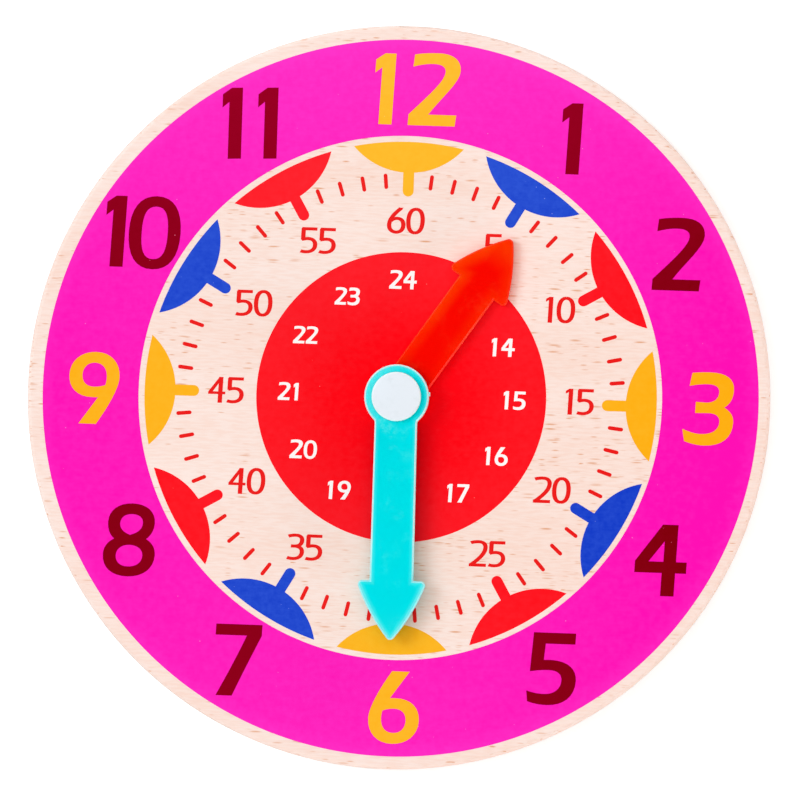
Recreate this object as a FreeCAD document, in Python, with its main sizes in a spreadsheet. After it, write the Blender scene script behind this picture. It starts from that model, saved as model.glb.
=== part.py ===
"""Wooden teaching clock: a round plywood dial board with two loose hands on a snap rivet.

The clock lies on its back. The origin is the centre of the board's back face, +Z points out of the
dial and +Y points at the twelve. Lengths are in millimetres and angles in degrees.

The rivet has two halves. The socket comes through the board from the back, and its tube is the axle
that both hands turn on. The pin goes in from the front. Its split tip springs out behind a ledge in
the socket, so its cap keeps the hands on the axle. Nothing couples the two hands.

Each sub-part is drawn in its own frame, standing on its own lowest face, and then placed on the
axle by expressions. Each hand is drawn pointing at the twelve.
"""

import FreeCAD, Part
import math
import os
import Sketcher

PARTS_FOLDER = "parts"

# Driving dimensions: alias, value, what it is.
SIZES = [
    ("board_diameter", 150.0, "plywood disc"),
    ("board_thickness", 5.0, "plywood disc"),
    ("rim_radius", 1.0, "sanded front edge of the board"),
    ("rim_bevel", 0.5, "broken back edge of the board"),
    ("hole_clearance", 0.05, "radial, socket tube in the board"),
    ("axle_diameter", 6.0, "outside of the socket tube"),
    ("axle_wall", 0.9, "socket tube"),
    ("axle_lead_in", 0.3, "chamfer in the front end of the socket tube"),
    ("flange_diameter", 13.0, "back end of the socket"),
    ("flange_thickness", 1.3, "back end of the socket"),
    ("flange_bevel", 0.4, "back end of the socket"),
    ("flange_inset", 0.2, "how far the flange sits in from the back face"),
    ("flange_clearance", 0.3, "radial, flange in its recess"),
    ("ledge_height", 2.2, "from the flange's back to the ledge"),
    ("pin_clearance", 0.1, "radial, pin in the socket tube"),
    ("barb_catch", 0.25, "radial, how far the barb reaches under the ledge"),
    ("barb_clearance", 0.12, "radial, sprung barb in its pocket"),
    ("barb_length", 1.6, "cone at the end of the pin"),
    ("barb_tip_diameter", 3.0, "cone at the end of the pin"),
    ("slot_width", 0.8, "cross slot that splits the pin"),
    ("slot_length", 5.6, "cross slot, from the tip"),
    ("cap_diameter", 9.9, "head of the pin"),
    ("cap_thickness", 1.2, "head of the pin, at its rim"),
    ("cap_crown", 0.5, "head of the pin, rise in the middle"),
    ("cap_edge_radius", 0.45, "head of the pin"),
    ("hub_diameter", 13.0, "round end of both hands"),
    ("hub_fillet_radius", 1.0, "where a blade leaves its hub"),
    ("head_width", 13.5, "arrowhead of both hands"),
    ("head_length", 11.9, "arrowhead of both hands"),
    ("head_side_radius", 40.0, "bowed sides of the arrowhead"),
    ("head_corner_radius", 0.9, "back corners of the arrowhead"),
    ("head_tip_radius", 0.9, "point of the arrowhead"),
    ("hand_thickness", 1.8, "both hands"),
    ("hand_bevel", 0.3, "edges of both hands"),
    ("minute_hand_length", 48.9, "from the axle to the tip"),
    ("minute_blade_root", 8.5, "width beside the hub"),
    ("minute_blade_end", 8.8, "width beside the arrowhead"),
    ("hour_hand_length", 39.1, "from the axle to the tip"),
    ("hour_blade_root", 8.4, "width beside the hub"),
    ("hour_blade_end", 8.5, "width beside the arrowhead"),
    ("gate_width", 0.8, "stub of the minute hand's moulding gate"),
    ("gate_height", 0.8, "stub of the minute hand's moulding gate"),
    ("gate_reach", 0.22, "how far the stub stands out of the hub"),
    ("gate_offset", 0.65, "how far the stub sits from the hub's middle, away from the tip"),
    ("running_clearance", 0.08, "radial, hand on the axle"),
    ("washer_diameter", 11.0, "both washers"),
    ("washer_thickness", 0.4, "both washers"),
    ("washer_clearance", 0.15, "radial, washer on the axle"),
    ("end_play", 0.05, "along the axle, beside each hand"),
    ("minute_hand_turn", 179.5, "clockwise from the twelve"),
    ("hour_hand_turn", 34.0, "clockwise from the twelve"),
]

# Round sizes that follow from the driving ones.
AXLE_RADIUS = "Sizes.axle_diameter / 2"
AXLE_BORE_RADIUS = f"{AXLE_RADIUS} - Sizes.axle_wall"
BOARD_HOLE_RADIUS = f"{AXLE_RADIUS} + Sizes.hole_clearance"
HAND_BORE_RADIUS = f"{AXLE_RADIUS} + Sizes.running_clearance"
WASHER_BORE_RADIUS = f"{AXLE_RADIUS} + Sizes.washer_clearance"
FLANGE_RADIUS = "Sizes.flange_diameter / 2"
RECESS_RADIUS = f"{FLANGE_RADIUS} + Sizes.flange_clearance"
PIN_RADIUS = f"{AXLE_BORE_RADIUS} - Sizes.pin_clearance"
BARB_RADIUS = f"{AXLE_BORE_RADIUS} + Sizes.barb_catch"
BARB_POCKET_RADIUS = f"{BARB_RADIUS} + Sizes.barb_clearance"

# Levels along the axle, from the board's back face upwards.
RECESS_DEPTH = "Sizes.flange_inset + Sizes.flange_thickness"
BARB_TOP = "Sizes.flange_inset + Sizes.ledge_height - Sizes.end_play"
PIN_TIP = f"{BARB_TOP} - Sizes.barb_length"
HOUR_HAND_UNDERSIDE = "Sizes.board_thickness + Sizes.washer_thickness + Sizes.end_play"
UPPER_WASHER_UNDERSIDE = f"{HOUR_HAND_UNDERSIDE} + Sizes.hand_thickness + Sizes.end_play"
MINUTE_HAND_UNDERSIDE = f"{UPPER_WASHER_UNDERSIDE} + Sizes.washer_thickness + Sizes.end_play"
AXLE_END = f"{MINUTE_HAND_UNDERSIDE} + Sizes.hand_thickness + Sizes.end_play"

# Sketcher numbers the points of an element up from 1, and a sketch's own axes down from -1.
START, END, CENTRE = 1, 2, 3
HORIZONTAL_AXIS, VERTICAL_AXIS = -1, -2
ORIGIN = (HORIZONTAL_AXIS, START)

doc = FreeCAD.newDocument("TeachingClock")
sizes = doc.addObject("Spreadsheet::Sheet", "Sizes")
for row, (alias, number, note) in enumerate(SIZES, start=1):
    sizes.set(f"A{row}", alias)
    sizes.set(f"B{row}", str(number))
    sizes.setAlias(f"B{row}", alias)
    sizes.set(f"C{row}", note)
doc.recompute()


def value(expression):
    """Number that an expression in the driving dimensions gives."""
    return float(sizes.evalExpression(expression))


def new_body(label, level="0", clockwise="0"):
    """Body that stands at a level of the axle and is turned clockwise about it."""
    body = doc.addObject("PartDesign::Body", label)
    body.Label = label
    body.Placement = FreeCAD.Placement(FreeCAD.Vector(), FreeCAD.Rotation(FreeCAD.Vector(0, 0, 1), -1))
    body.setExpression("Placement.Base.z", level)
    body.setExpression("Placement.Rotation.Angle", f"-({clockwise})")
    return body


def new_sketch(body, name, plane="XY_Plane"):
    """Sketch on one of the body's own origin planes."""
    sketch = body.newObject("Sketcher::SketchObject", name)
    support = next(feature for feature in body.Origin.OriginFeatures if feature.Role == plane)
    sketch.AttachmentSupport = [(support, "")]
    sketch.MapMode = "FlatFace"
    return sketch


def bind(sketch, constraint, expression):
    """Adds a dimension to a sketch and ties it to an expression."""
    sketch.setExpression(f"Constraints[{sketch.addConstraint(constraint)}]", expression)


def bind_across(sketch, point, expression):
    """Ties a point's distance to the right of the origin."""
    bind(sketch, Sketcher.Constraint("DistanceX", *ORIGIN, *point, value(expression)), expression)


def bind_up(sketch, point, expression):
    """Ties a point's distance above the origin."""
    bind(sketch, Sketcher.Constraint("DistanceY", *ORIGIN, *point, value(expression)), expression)


def bind_radius(sketch, curve, expression):
    """Ties the radius of a circle or an arc."""
    bind(sketch, Sketcher.Constraint("Radius", curve, value(expression)), expression)


def join(sketch, first, second):
    """Makes two points of a sketch one."""
    sketch.addConstraint(Sketcher.Constraint("Coincident", *first, *second))


def close_loop(sketch, lines):
    """Joins the end of each line to the start of the next, and the last to the first."""
    for line, following in zip(lines, lines[1:] + lines[:1]):
        join(sketch, (line, END), (following, START))


def add_line(sketch, start, end):
    """Draws a straight line between two (across, up) places."""
    return sketch.addGeometry(Part.LineSegment(FreeCAD.Vector(*start), FreeCAD.Vector(*end)), False)


def add_arc(sketch, centre, radius, start_angle, end_angle):
    """Draws an arc that runs anticlockwise between two angles in radians."""
    circle = Part.Circle(FreeCAD.Vector(*centre), FreeCAD.Vector(0, 0, 1), radius)
    return sketch.addGeometry(Part.ArcOfCircle(circle, start_angle, end_angle), False)


def add_ring(sketch, radius):
    """Draws a circle about the origin and ties its radius."""
    circle = Part.Circle(FreeCAD.Vector(), FreeCAD.Vector(0, 0, 1), value(radius))
    index = sketch.addGeometry(circle, False)
    join(sketch, (index, CENTRE), ORIGIN)
    bind_radius(sketch, index, radius)


def add_section(sketch, corners):
    """Draws a closed half section through corners given as (radius, height) expressions.

    A radius of None puts the corner on the axis, and a height of None puts it on the base.
    """
    places = [(value(radius or "0"), value(height or "0")) for radius, height in corners]
    lines = [add_line(sketch, start, end) for start, end in zip(places, places[1:] + places[:1])]
    close_loop(sketch, lines)
    for line, (radius, height) in zip(lines, corners):
        corner = (line, START)
        if radius is None:
            sketch.addConstraint(Sketcher.Constraint("PointOnObject", *corner, VERTICAL_AXIS))
        else:
            bind_across(sketch, corner, radius)
        if height is None:
            sketch.addConstraint(Sketcher.Constraint("PointOnObject", *corner, HORIZONTAL_AXIS))
        else:
            bind_up(sketch, corner, height)
    return lines


def pad(body, sketch, length):
    """Raises a sketch by a length."""
    feature = body.newObject("PartDesign::Pad", f"{sketch.Name}Pad")
    feature.Profile = sketch
    feature.setExpression("Length", length)
    return feature


def turn(body, sketch):
    """Turns a half section about the axle."""
    feature = body.newObject("PartDesign::Revolution", f"{sketch.Name}Turned")
    feature.Profile = sketch
    feature.ReferenceAxis = (sketch, ["V_Axis"])
    feature.Angle = 360
    return feature


def volume_after_recompute(feature):
    """Volume of the body as far as this feature."""
    doc.recompute()
    return feature.Shape.Volume


def ease_edges(body, kind, name, base, wanted, size):
    """Fillets or chamfers the edges of a feature that pass a test."""
    volume = volume_after_recompute(base)
    edges = [f"Edge{i}" for i, edge in enumerate(base.Shape.Edges, start=1) if wanted(edge)]
    feature = body.newObject(f"PartDesign::{kind}", name)
    feature.Base = (base, edges)
    feature.setExpression("Radius" if kind == "Fillet" else "Size", size)
    if math.isclose(volume_after_recompute(feature), volume):
        raise RuntimeError(f"{name} changes nothing")
    return feature


def is_round_edge(edge, radius, height):
    """Whether an edge is a circle about the axle, of a radius and at a height."""
    if edge.Degenerated or not isinstance(edge.Curve, Part.Circle):
        return False
    circle = edge.Curve
    return (
        math.isclose(circle.Radius, value(radius), abs_tol=1e-6)
        and math.isclose(circle.Center.z, value(height), abs_tol=1e-6)
    )


def is_upright_edge(edge, across, up):
    """Whether an edge stands upright at a place, on either side of the hand's centre line."""
    low, high = edge.Vertexes[0].Point, edge.Vertexes[-1].Point
    is_upright = math.hypot(high.x - low.x, high.y - low.y) < 1e-6 < abs(high.z - low.z)
    return is_upright and math.hypot(abs(low.x) - across, low.y - up) < 1e-4


def is_outline_edge(edge, height):
    """Whether an edge of a hand lies flat at a height and isn't the rim of its bore."""
    is_flat = all(math.isclose(vertex.Point.z, value(height), abs_tol=1e-6) for vertex in edge.Vertexes)
    return is_flat and not is_round_edge(edge, HAND_BORE_RADIUS, height)


def build_dial_board():
    """Plywood disc with a hole for the axle and a recess in its back for the rivet's flange."""
    body = new_body("dial_board")
    outline = new_sketch(body, "BoardOutline")
    add_ring(outline, "Sizes.board_diameter / 2")
    add_ring(outline, BOARD_HOLE_RADIUS)
    disc = pad(body, outline, "Sizes.board_thickness")

    recess_sketch = new_sketch(body, "FlangeRecess")
    add_ring(recess_sketch, RECESS_RADIUS)
    before = volume_after_recompute(disc)
    recess = body.newObject("PartDesign::Pocket", "FlangeRecessPocket")
    recess.Profile = recess_sketch
    recess.Reversed = True
    recess.setExpression("Length", RECESS_DEPTH)
    if volume_after_recompute(recess) >= before:
        raise RuntimeError("the flange's recess cuts nothing")

    rounded = ease_edges(
        body,
        "Fillet",
        "SandedRim",
        recess,
        lambda edge: is_round_edge(edge, "Sizes.board_diameter / 2", "Sizes.board_thickness"),
        "Sizes.rim_radius",
    )
    ease_edges(
        body,
        "Chamfer",
        "BackRim",
        rounded,
        lambda edge: is_round_edge(edge, "Sizes.board_diameter / 2", "0"),
        "Sizes.rim_bevel",
    )
    return body


def build_rivet_socket():
    """Back half of the rivet: a flange and the tube that the hands turn on, with a ledge inside."""
    body = new_body("rivet_socket", "Sizes.flange_inset")
    length = f"({AXLE_END}) - Sizes.flange_inset"
    section = new_sketch(body, "SocketSection", "XZ_Plane")
    add_section(
        section,
        [
            (BARB_POCKET_RADIUS, None),
            (FLANGE_RADIUS, None),
            (FLANGE_RADIUS, "Sizes.flange_thickness"),
            (AXLE_RADIUS, "Sizes.flange_thickness"),
            (AXLE_RADIUS, length),
            (AXLE_BORE_RADIUS, length),
            (AXLE_BORE_RADIUS, "Sizes.ledge_height"),
            (BARB_POCKET_RADIUS, "Sizes.ledge_height"),
        ],
    )
    turned = turn(body, section)
    eased = ease_edges(
        body,
        "Chamfer",
        "FlangeEdge",
        turned,
        lambda edge: is_round_edge(edge, FLANGE_RADIUS, "0"),
        "Sizes.flange_bevel",
    )
    ease_edges(
        body,
        "Chamfer",
        "AxleLeadIn",
        eased,
        lambda edge: is_round_edge(edge, AXLE_BORE_RADIUS, length),
        "Sizes.axle_lead_in",
    )
    return body


def build_rivet_pin():
    """Front half of the rivet: a domed cap and a shank split into four barbed prongs."""
    body = new_body("rivet_pin", PIN_TIP)
    cap_underside = f"({AXLE_END}) - ({PIN_TIP})"
    cap_rim = f"{cap_underside} + Sizes.cap_thickness"
    cap_top = f"{cap_rim} + Sizes.cap_crown"
    section = new_sketch(body, "PinSection", "XZ_Plane")
    lines = add_section(
        section,
        [
            (None, None),
            ("Sizes.barb_tip_diameter / 2", None),
            (BARB_RADIUS, "Sizes.barb_length"),
            (PIN_RADIUS, "Sizes.barb_length"),
            (PIN_RADIUS, cap_underside),
            ("Sizes.cap_diameter / 2", cap_underside),
            ("Sizes.cap_diameter / 2", cap_rim),
            (None, cap_top),
        ],
    )
    crown_line = lines[-2]
    section.toggleConstruction(crown_line)
    half_width, crown = value("Sizes.cap_diameter / 2"), value("Sizes.cap_crown")
    crown_radius = (half_width**2 + crown**2) / (2 * crown)
    crown_centre = (0, value(cap_top) - crown_radius)
    crown_angle = math.acos(half_width / crown_radius)
    crown_arc = add_arc(section, crown_centre, crown_radius, crown_angle, math.pi / 2)
    join(section, (crown_arc, START), (crown_line, START))
    join(section, (crown_arc, END), (crown_line, END))
    section.addConstraint(Sketcher.Constraint("PointOnObject", crown_arc, CENTRE, VERTICAL_AXIS))
    turned = turn(body, section)
    eased = ease_edges(
        body,
        "Fillet",
        "CapEdge",
        turned,
        lambda edge: is_round_edge(edge, "Sizes.cap_diameter / 2", cap_rim),
        "Sizes.cap_edge_radius",
    )

    slot_sketch = new_sketch(body, "PinSlot", "XZ_Plane")
    half_slot, slot_top = value("Sizes.slot_width / 2"), value("Sizes.slot_length - Sizes.slot_width / 2")
    floor = add_line(slot_sketch, (-half_slot, 0), (half_slot, 0))
    right = add_line(slot_sketch, (half_slot, 0), (half_slot, slot_top))
    crest = add_arc(slot_sketch, (0, slot_top), half_slot, 0, math.pi)
    left = add_line(slot_sketch, (-half_slot, slot_top), (-half_slot, 0))
    join(slot_sketch, (floor, END), (right, START))
    join(slot_sketch, (left, END), (floor, START))
    slot_sketch.addConstraint(Sketcher.Constraint("Tangent", right, END, crest, START))
    slot_sketch.addConstraint(Sketcher.Constraint("Tangent", crest, END, left, START))
    slot_sketch.addConstraint(Sketcher.Constraint("PointOnObject", floor, START, HORIZONTAL_AXIS))
    slot_sketch.addConstraint(Sketcher.Constraint("Horizontal", floor))
    slot_sketch.addConstraint(Sketcher.Constraint("Vertical", right))
    slot_sketch.addConstraint(Sketcher.Constraint("Vertical", left))
    slot_sketch.addConstraint(Sketcher.Constraint("PointOnObject", crest, CENTRE, VERTICAL_AXIS))
    bind_radius(slot_sketch, crest, "Sizes.slot_width / 2")
    bind_up(slot_sketch, (crest, CENTRE), "Sizes.slot_length - Sizes.slot_width / 2")
    before = volume_after_recompute(eased)
    slot = body.newObject("PartDesign::Pocket", "PinSlotPocket")
    slot.Profile = slot_sketch
    slot.Type = "ThroughAll"
    slot.SideType = "Symmetric"
    after_one = volume_after_recompute(slot)
    cross = body.newObject("PartDesign::PolarPattern", "PinCrossSlot")
    cross.Originals = [slot]
    cross.Axis = (section, ["V_Axis"])
    cross.Angle = 90
    cross.Occurrences = 2
    body.Tip = cross
    if not volume_after_recompute(cross) < after_one < before:
        raise RuntimeError("the pin's cross slot cuts nothing")
    return body


def build_washer(label, level):
    """Thin ring that keeps a hand clear of what lies under it."""
    body = new_body(label, level)
    outline = new_sketch(body, f"{label}_outline")
    add_ring(outline, "Sizes.washer_diameter / 2")
    add_ring(outline, WASHER_BORE_RADIUS)
    pad(body, outline, "Sizes.washer_thickness")
    return body


def draw_hand_outline(sketch, length, blade_root, blade_end):
    """Draws a hand that points up: round hub, blade, and an arrowhead with bowed sides.

    The right half is dimensioned, and the left half is tied to it by symmetry.
    """
    head_base = f"{length} - Sizes.head_length"
    corner_across = "Sizes.head_width / 2 - Sizes.head_corner_radius"
    corner_up = f"{head_base} + Sizes.head_corner_radius"
    tip_up = f"{length} - Sizes.head_tip_radius"

    hub_radius = value("Sizes.hub_diameter / 2")
    root_across, end_across = value(blade_root) / 2, value(blade_end) / 2
    root_angle = math.acos(root_across / hub_radius)
    root = (root_across, hub_radius * math.sin(root_angle))
    corner_radius, tip_radius = value("Sizes.head_corner_radius"), value("Sizes.head_tip_radius")
    side_radius = value("Sizes.head_side_radius")
    corner = FreeCAD.Vector(value(corner_across), value(corner_up))
    tip = FreeCAD.Vector(0, value(tip_up))

    # A side touches both round ends from outside them, so its centre is found from two radii.
    between = tip - corner
    reach_corner, reach_tip = side_radius - corner_radius, side_radius - tip_radius
    along = (reach_corner**2 - reach_tip**2 + between.Length**2) / (2 * between.Length)
    aside = math.sqrt(reach_corner**2 - along**2)
    direction = FreeCAD.Vector(between).normalize()
    side_centre = corner + direction * along + FreeCAD.Vector(-direction.y, direction.x) * aside
    from_side = corner - side_centre
    side_start = math.atan2(from_side.y, from_side.x)
    from_side = tip - side_centre
    side_end = math.atan2(from_side.y, from_side.x)

    def mirrored(place):
        return (-place[0], place[1])

    base = value(head_base)
    hub = add_arc(sketch, (0, 0), hub_radius, math.pi - root_angle, 2 * math.pi + root_angle)
    blade = add_line(sketch, root, (end_across, base))
    back = add_line(sketch, (end_across, base), (corner.x, base))
    barb = add_arc(sketch, tuple(corner), corner_radius, -math.pi / 2, side_start)
    side = add_arc(sketch, tuple(side_centre), side_radius, side_start, side_end)
    point = add_arc(sketch, tuple(tip), tip_radius, side_end, math.pi - side_end)
    left_side = add_arc(
        sketch, mirrored(side_centre), side_radius, math.pi - side_end, math.pi - side_start
    )
    left_barb = add_arc(
        sketch, mirrored(corner), corner_radius, math.pi - side_start, 3 * math.pi / 2
    )
    left_back = add_line(sketch, (-corner.x, base), (-end_across, base))
    left_blade = add_line(sketch, (-end_across, base), mirrored(root))

    join(sketch, (hub, CENTRE), ORIGIN)
    bind_radius(sketch, hub, "Sizes.hub_diameter / 2")
    join(sketch, (blade, START), (hub, END))
    bind_across(sketch, (blade, START), f"{blade_root} / 2")
    join(sketch, (back, START), (blade, END))
    bind_across(sketch, (back, START), f"{blade_end} / 2")
    bind_up(sketch, (back, START), head_base)
    sketch.addConstraint(Sketcher.Constraint("Horizontal", back))
    sketch.addConstraint(Sketcher.Constraint("Tangent", back, END, barb, START))
    bind_radius(sketch, barb, "Sizes.head_corner_radius")
    bind_across(sketch, (barb, CENTRE), corner_across)
    sketch.addConstraint(Sketcher.Constraint("Tangent", barb, END, side, START))
    bind_radius(sketch, side, "Sizes.head_side_radius")
    sketch.addConstraint(Sketcher.Constraint("Tangent", side, END, point, START))
    bind_radius(sketch, point, "Sizes.head_tip_radius")
    sketch.addConstraint(Sketcher.Constraint("PointOnObject", point, CENTRE, VERTICAL_AXIS))
    bind_up(sketch, (point, CENTRE), tip_up)

    join(sketch, (left_side, START), (point, END))
    join(sketch, (left_barb, START), (left_side, END))
    join(sketch, (left_back, START), (left_barb, END))
    join(sketch, (left_blade, START), (left_back, END))
    join(sketch, (left_blade, END), (hub, START))
    sketch.addConstraint(Sketcher.Constraint("Equal", side, left_side))
    sketch.addConstraint(Sketcher.Constraint("Equal", barb, left_barb))
    sketch.addConstraint(Sketcher.Constraint("Horizontal", hub, START, hub, END))
    sketch.addConstraint(Sketcher.Constraint("Horizontal", point, START, point, END))
    for right_point, left_point in [
        ((back, START), (left_back, END)),
        ((back, END), (left_back, START)),
        ((side, START), (left_side, END)),
    ]:
        sketch.addConstraint(
            Sketcher.Constraint("Symmetric", *right_point, *left_point, VERTICAL_AXIS)
        )
    return root


def build_hand(label, level, clockwise, length, blade_root, blade_end):
    """Arrow-shaped hand of clear plastic, with bevelled edges, bored for the axle."""
    body = new_body(label, level, clockwise)
    outline = new_sketch(body, f"{label}_outline")
    root = draw_hand_outline(outline, length, blade_root, blade_end)
    add_ring(outline, HAND_BORE_RADIUS)
    blank = pad(body, outline, "Sizes.hand_thickness")
    necked = ease_edges(
        body,
        "Fillet",
        f"{label}_neck",
        blank,
        lambda edge: is_upright_edge(edge, *root),
        "Sizes.hub_fillet_radius",
    )
    ease_edges(
        body,
        "Chamfer",
        f"{label}_edges",
        necked,
        lambda edge: is_outline_edge(edge, "0") or is_outline_edge(edge, "Sizes.hand_thickness"),
        "Sizes.hand_bevel",
    )
    return body


def add_moulding_gate(body):
    """Stub left on the side of a hub where the plastic came into the mould."""
    inner = "Sizes.hub_diameter / 2 - Sizes.gate_width"
    outer = "Sizes.hub_diameter / 2 + Sizes.gate_reach"
    near, far, half_width = -value(inner), -value(outer), value("Sizes.gate_width / 2")
    sketch = new_sketch(body, "MouldingGate")
    sketch.setExpression("AttachmentOffset.Base.y", "-Sizes.gate_offset")
    sketch.setExpression("AttachmentOffset.Base.z", "(Sizes.hand_thickness - Sizes.gate_height) / 2")
    bottom = add_line(sketch, (far, -half_width), (near, -half_width))
    right = add_line(sketch, (near, -half_width), (near, half_width))
    top = add_line(sketch, (near, half_width), (far, half_width))
    left = add_line(sketch, (far, half_width), (far, -half_width))
    close_loop(sketch, [bottom, right, top, left])
    for direction, line in [("Horizontal", bottom), ("Horizontal", top), ("Vertical", left)]:
        sketch.addConstraint(Sketcher.Constraint(direction, line))
    sketch.addConstraint(Sketcher.Constraint("Symmetric", right, START, right, END, HORIZONTAL_AXIS))
    bind(
        sketch,
        Sketcher.Constraint("DistanceY", right, START, right, END, 2 * half_width),
        "Sizes.gate_width",
    )
    bind(sketch, Sketcher.Constraint("DistanceX", right, START, *ORIGIN, -near), inner)
    bind(sketch, Sketcher.Constraint("DistanceX", left, START, *ORIGIN, -far), outer)
    pad(body, sketch, "Sizes.gate_height")


def check_document():
    """Stops if any object of the document failed, or a sub-part isn't one valid solid."""
    for obj in doc.Objects:
        if {"Invalid", "Error"} & set(obj.State):
            raise RuntimeError(f"{obj.Label} failed: {obj.State}")
        if obj.isDerivedFrom("Sketcher::SketchObject") and not obj.FullyConstrained:
            raise RuntimeError(f"{obj.Label} isn't fully dimensioned")
    for body in sub_parts:
        if body.Shape.isNull() or not body.Shape.isValid() or len(body.Shape.Solids) != 1:
            raise RuntimeError(f"{body.Label} isn't one valid solid")


minute_hand = build_hand(
    "minute_hand",
    MINUTE_HAND_UNDERSIDE,
    "Sizes.minute_hand_turn",
    "Sizes.minute_hand_length",
    "Sizes.minute_blade_root",
    "Sizes.minute_blade_end",
)
add_moulding_gate(minute_hand)
hour_hand = build_hand(
    "hour_hand",
    HOUR_HAND_UNDERSIDE,
    "Sizes.hour_hand_turn",
    "Sizes.hour_hand_length",
    "Sizes.hour_blade_root",
    "Sizes.hour_blade_end",
)
sub_parts = [
    build_dial_board(),
    build_rivet_socket(),
    build_washer("lower_washer", "Sizes.board_thickness"),
    hour_hand,
    build_washer("upper_washer", UPPER_WASHER_UNDERSIDE),
    minute_hand,
    build_rivet_pin(),
]
doc.recompute()
check_document()
os.makedirs(PARTS_FOLDER, exist_ok=True)
for body in sub_parts:
    body.Shape.exportStep(os.path.join(PARTS_FOLDER, f"{body.Label}.step"))
    print(f"{body.Label}: {body.Shape.Volume:.1f} mm3")
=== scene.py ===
"""Looks of a wooden teaching clock: a plywood dial printed in bright inks, and two plastic hands.

The clock lies on its back. +Z comes out of the dial and +Y points at the twelve. Sizes here are in
millimetres, as on the drawing, and MM turns them into metres where a mesh, lamp or camera is made.
"""

import logging
import math
import re
from abc import ABC, abstractmethod
from collections import Counter
from dataclasses import dataclass
from enum import Enum
from typing import ClassVar, Iterable, Sequence, Union

import bpy
from mathutils import Matrix, Vector
from mathutils.geometry import delaunay_2d_cdt


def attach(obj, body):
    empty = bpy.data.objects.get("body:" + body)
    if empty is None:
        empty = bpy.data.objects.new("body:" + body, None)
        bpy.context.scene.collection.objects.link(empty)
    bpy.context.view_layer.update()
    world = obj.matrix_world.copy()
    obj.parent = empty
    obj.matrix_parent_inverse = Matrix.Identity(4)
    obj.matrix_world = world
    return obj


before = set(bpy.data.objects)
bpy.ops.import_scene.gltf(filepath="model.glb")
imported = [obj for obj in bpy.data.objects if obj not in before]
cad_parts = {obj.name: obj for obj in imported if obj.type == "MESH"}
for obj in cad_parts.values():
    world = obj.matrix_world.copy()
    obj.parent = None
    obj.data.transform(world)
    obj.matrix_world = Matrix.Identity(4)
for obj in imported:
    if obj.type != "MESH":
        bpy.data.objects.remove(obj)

log = logging.getLogger("teaching_clock")

MM = 0.001
HOUR_ANGLE = 30
MINUTE_ANGLE = 6
BOARD = "board"

Place = tuple[float, float]
Loop = list[Place]
Range = tuple[float, float]
Triple = tuple[float, float, float]
Mix = tuple[int, int, int]
Feed = Union[bpy.types.NodeSocket, float, tuple[float, ...]]


def screen_colour(mix: Mix) -> tuple[float, float, float, float]:
    """Turns a colour as mixed on a screen into the shader's linear numbers.

    Args:
        mix: Red, green and blue, each from 0 to 255.

    Returns:
        Red, green, blue and a full alpha, each from 0 to 1.
    """
    shares = (channel / 255 for channel in mix)
    linear = (s / 12.92 if s <= 0.04045 else ((s + 0.055) / 1.055) ** 2.4 for s in shares)
    return (*linear, 1.0)


def put_in_scene(name: str, data: bpy.types.ID) -> bpy.types.Object:
    """Makes an object of a mesh, a lamp or a camera.

    Args:
        name: Name of the object.
        data: The mesh, lamp or camera.

    Returns:
        The object, which is in the scene.
    """
    placed = bpy.data.objects.new(name, data)
    bpy.context.scene.collection.objects.link(placed)
    return placed


# ---------------------------------------------------------------------------------------------
# Shader trees
# ---------------------------------------------------------------------------------------------


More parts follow.
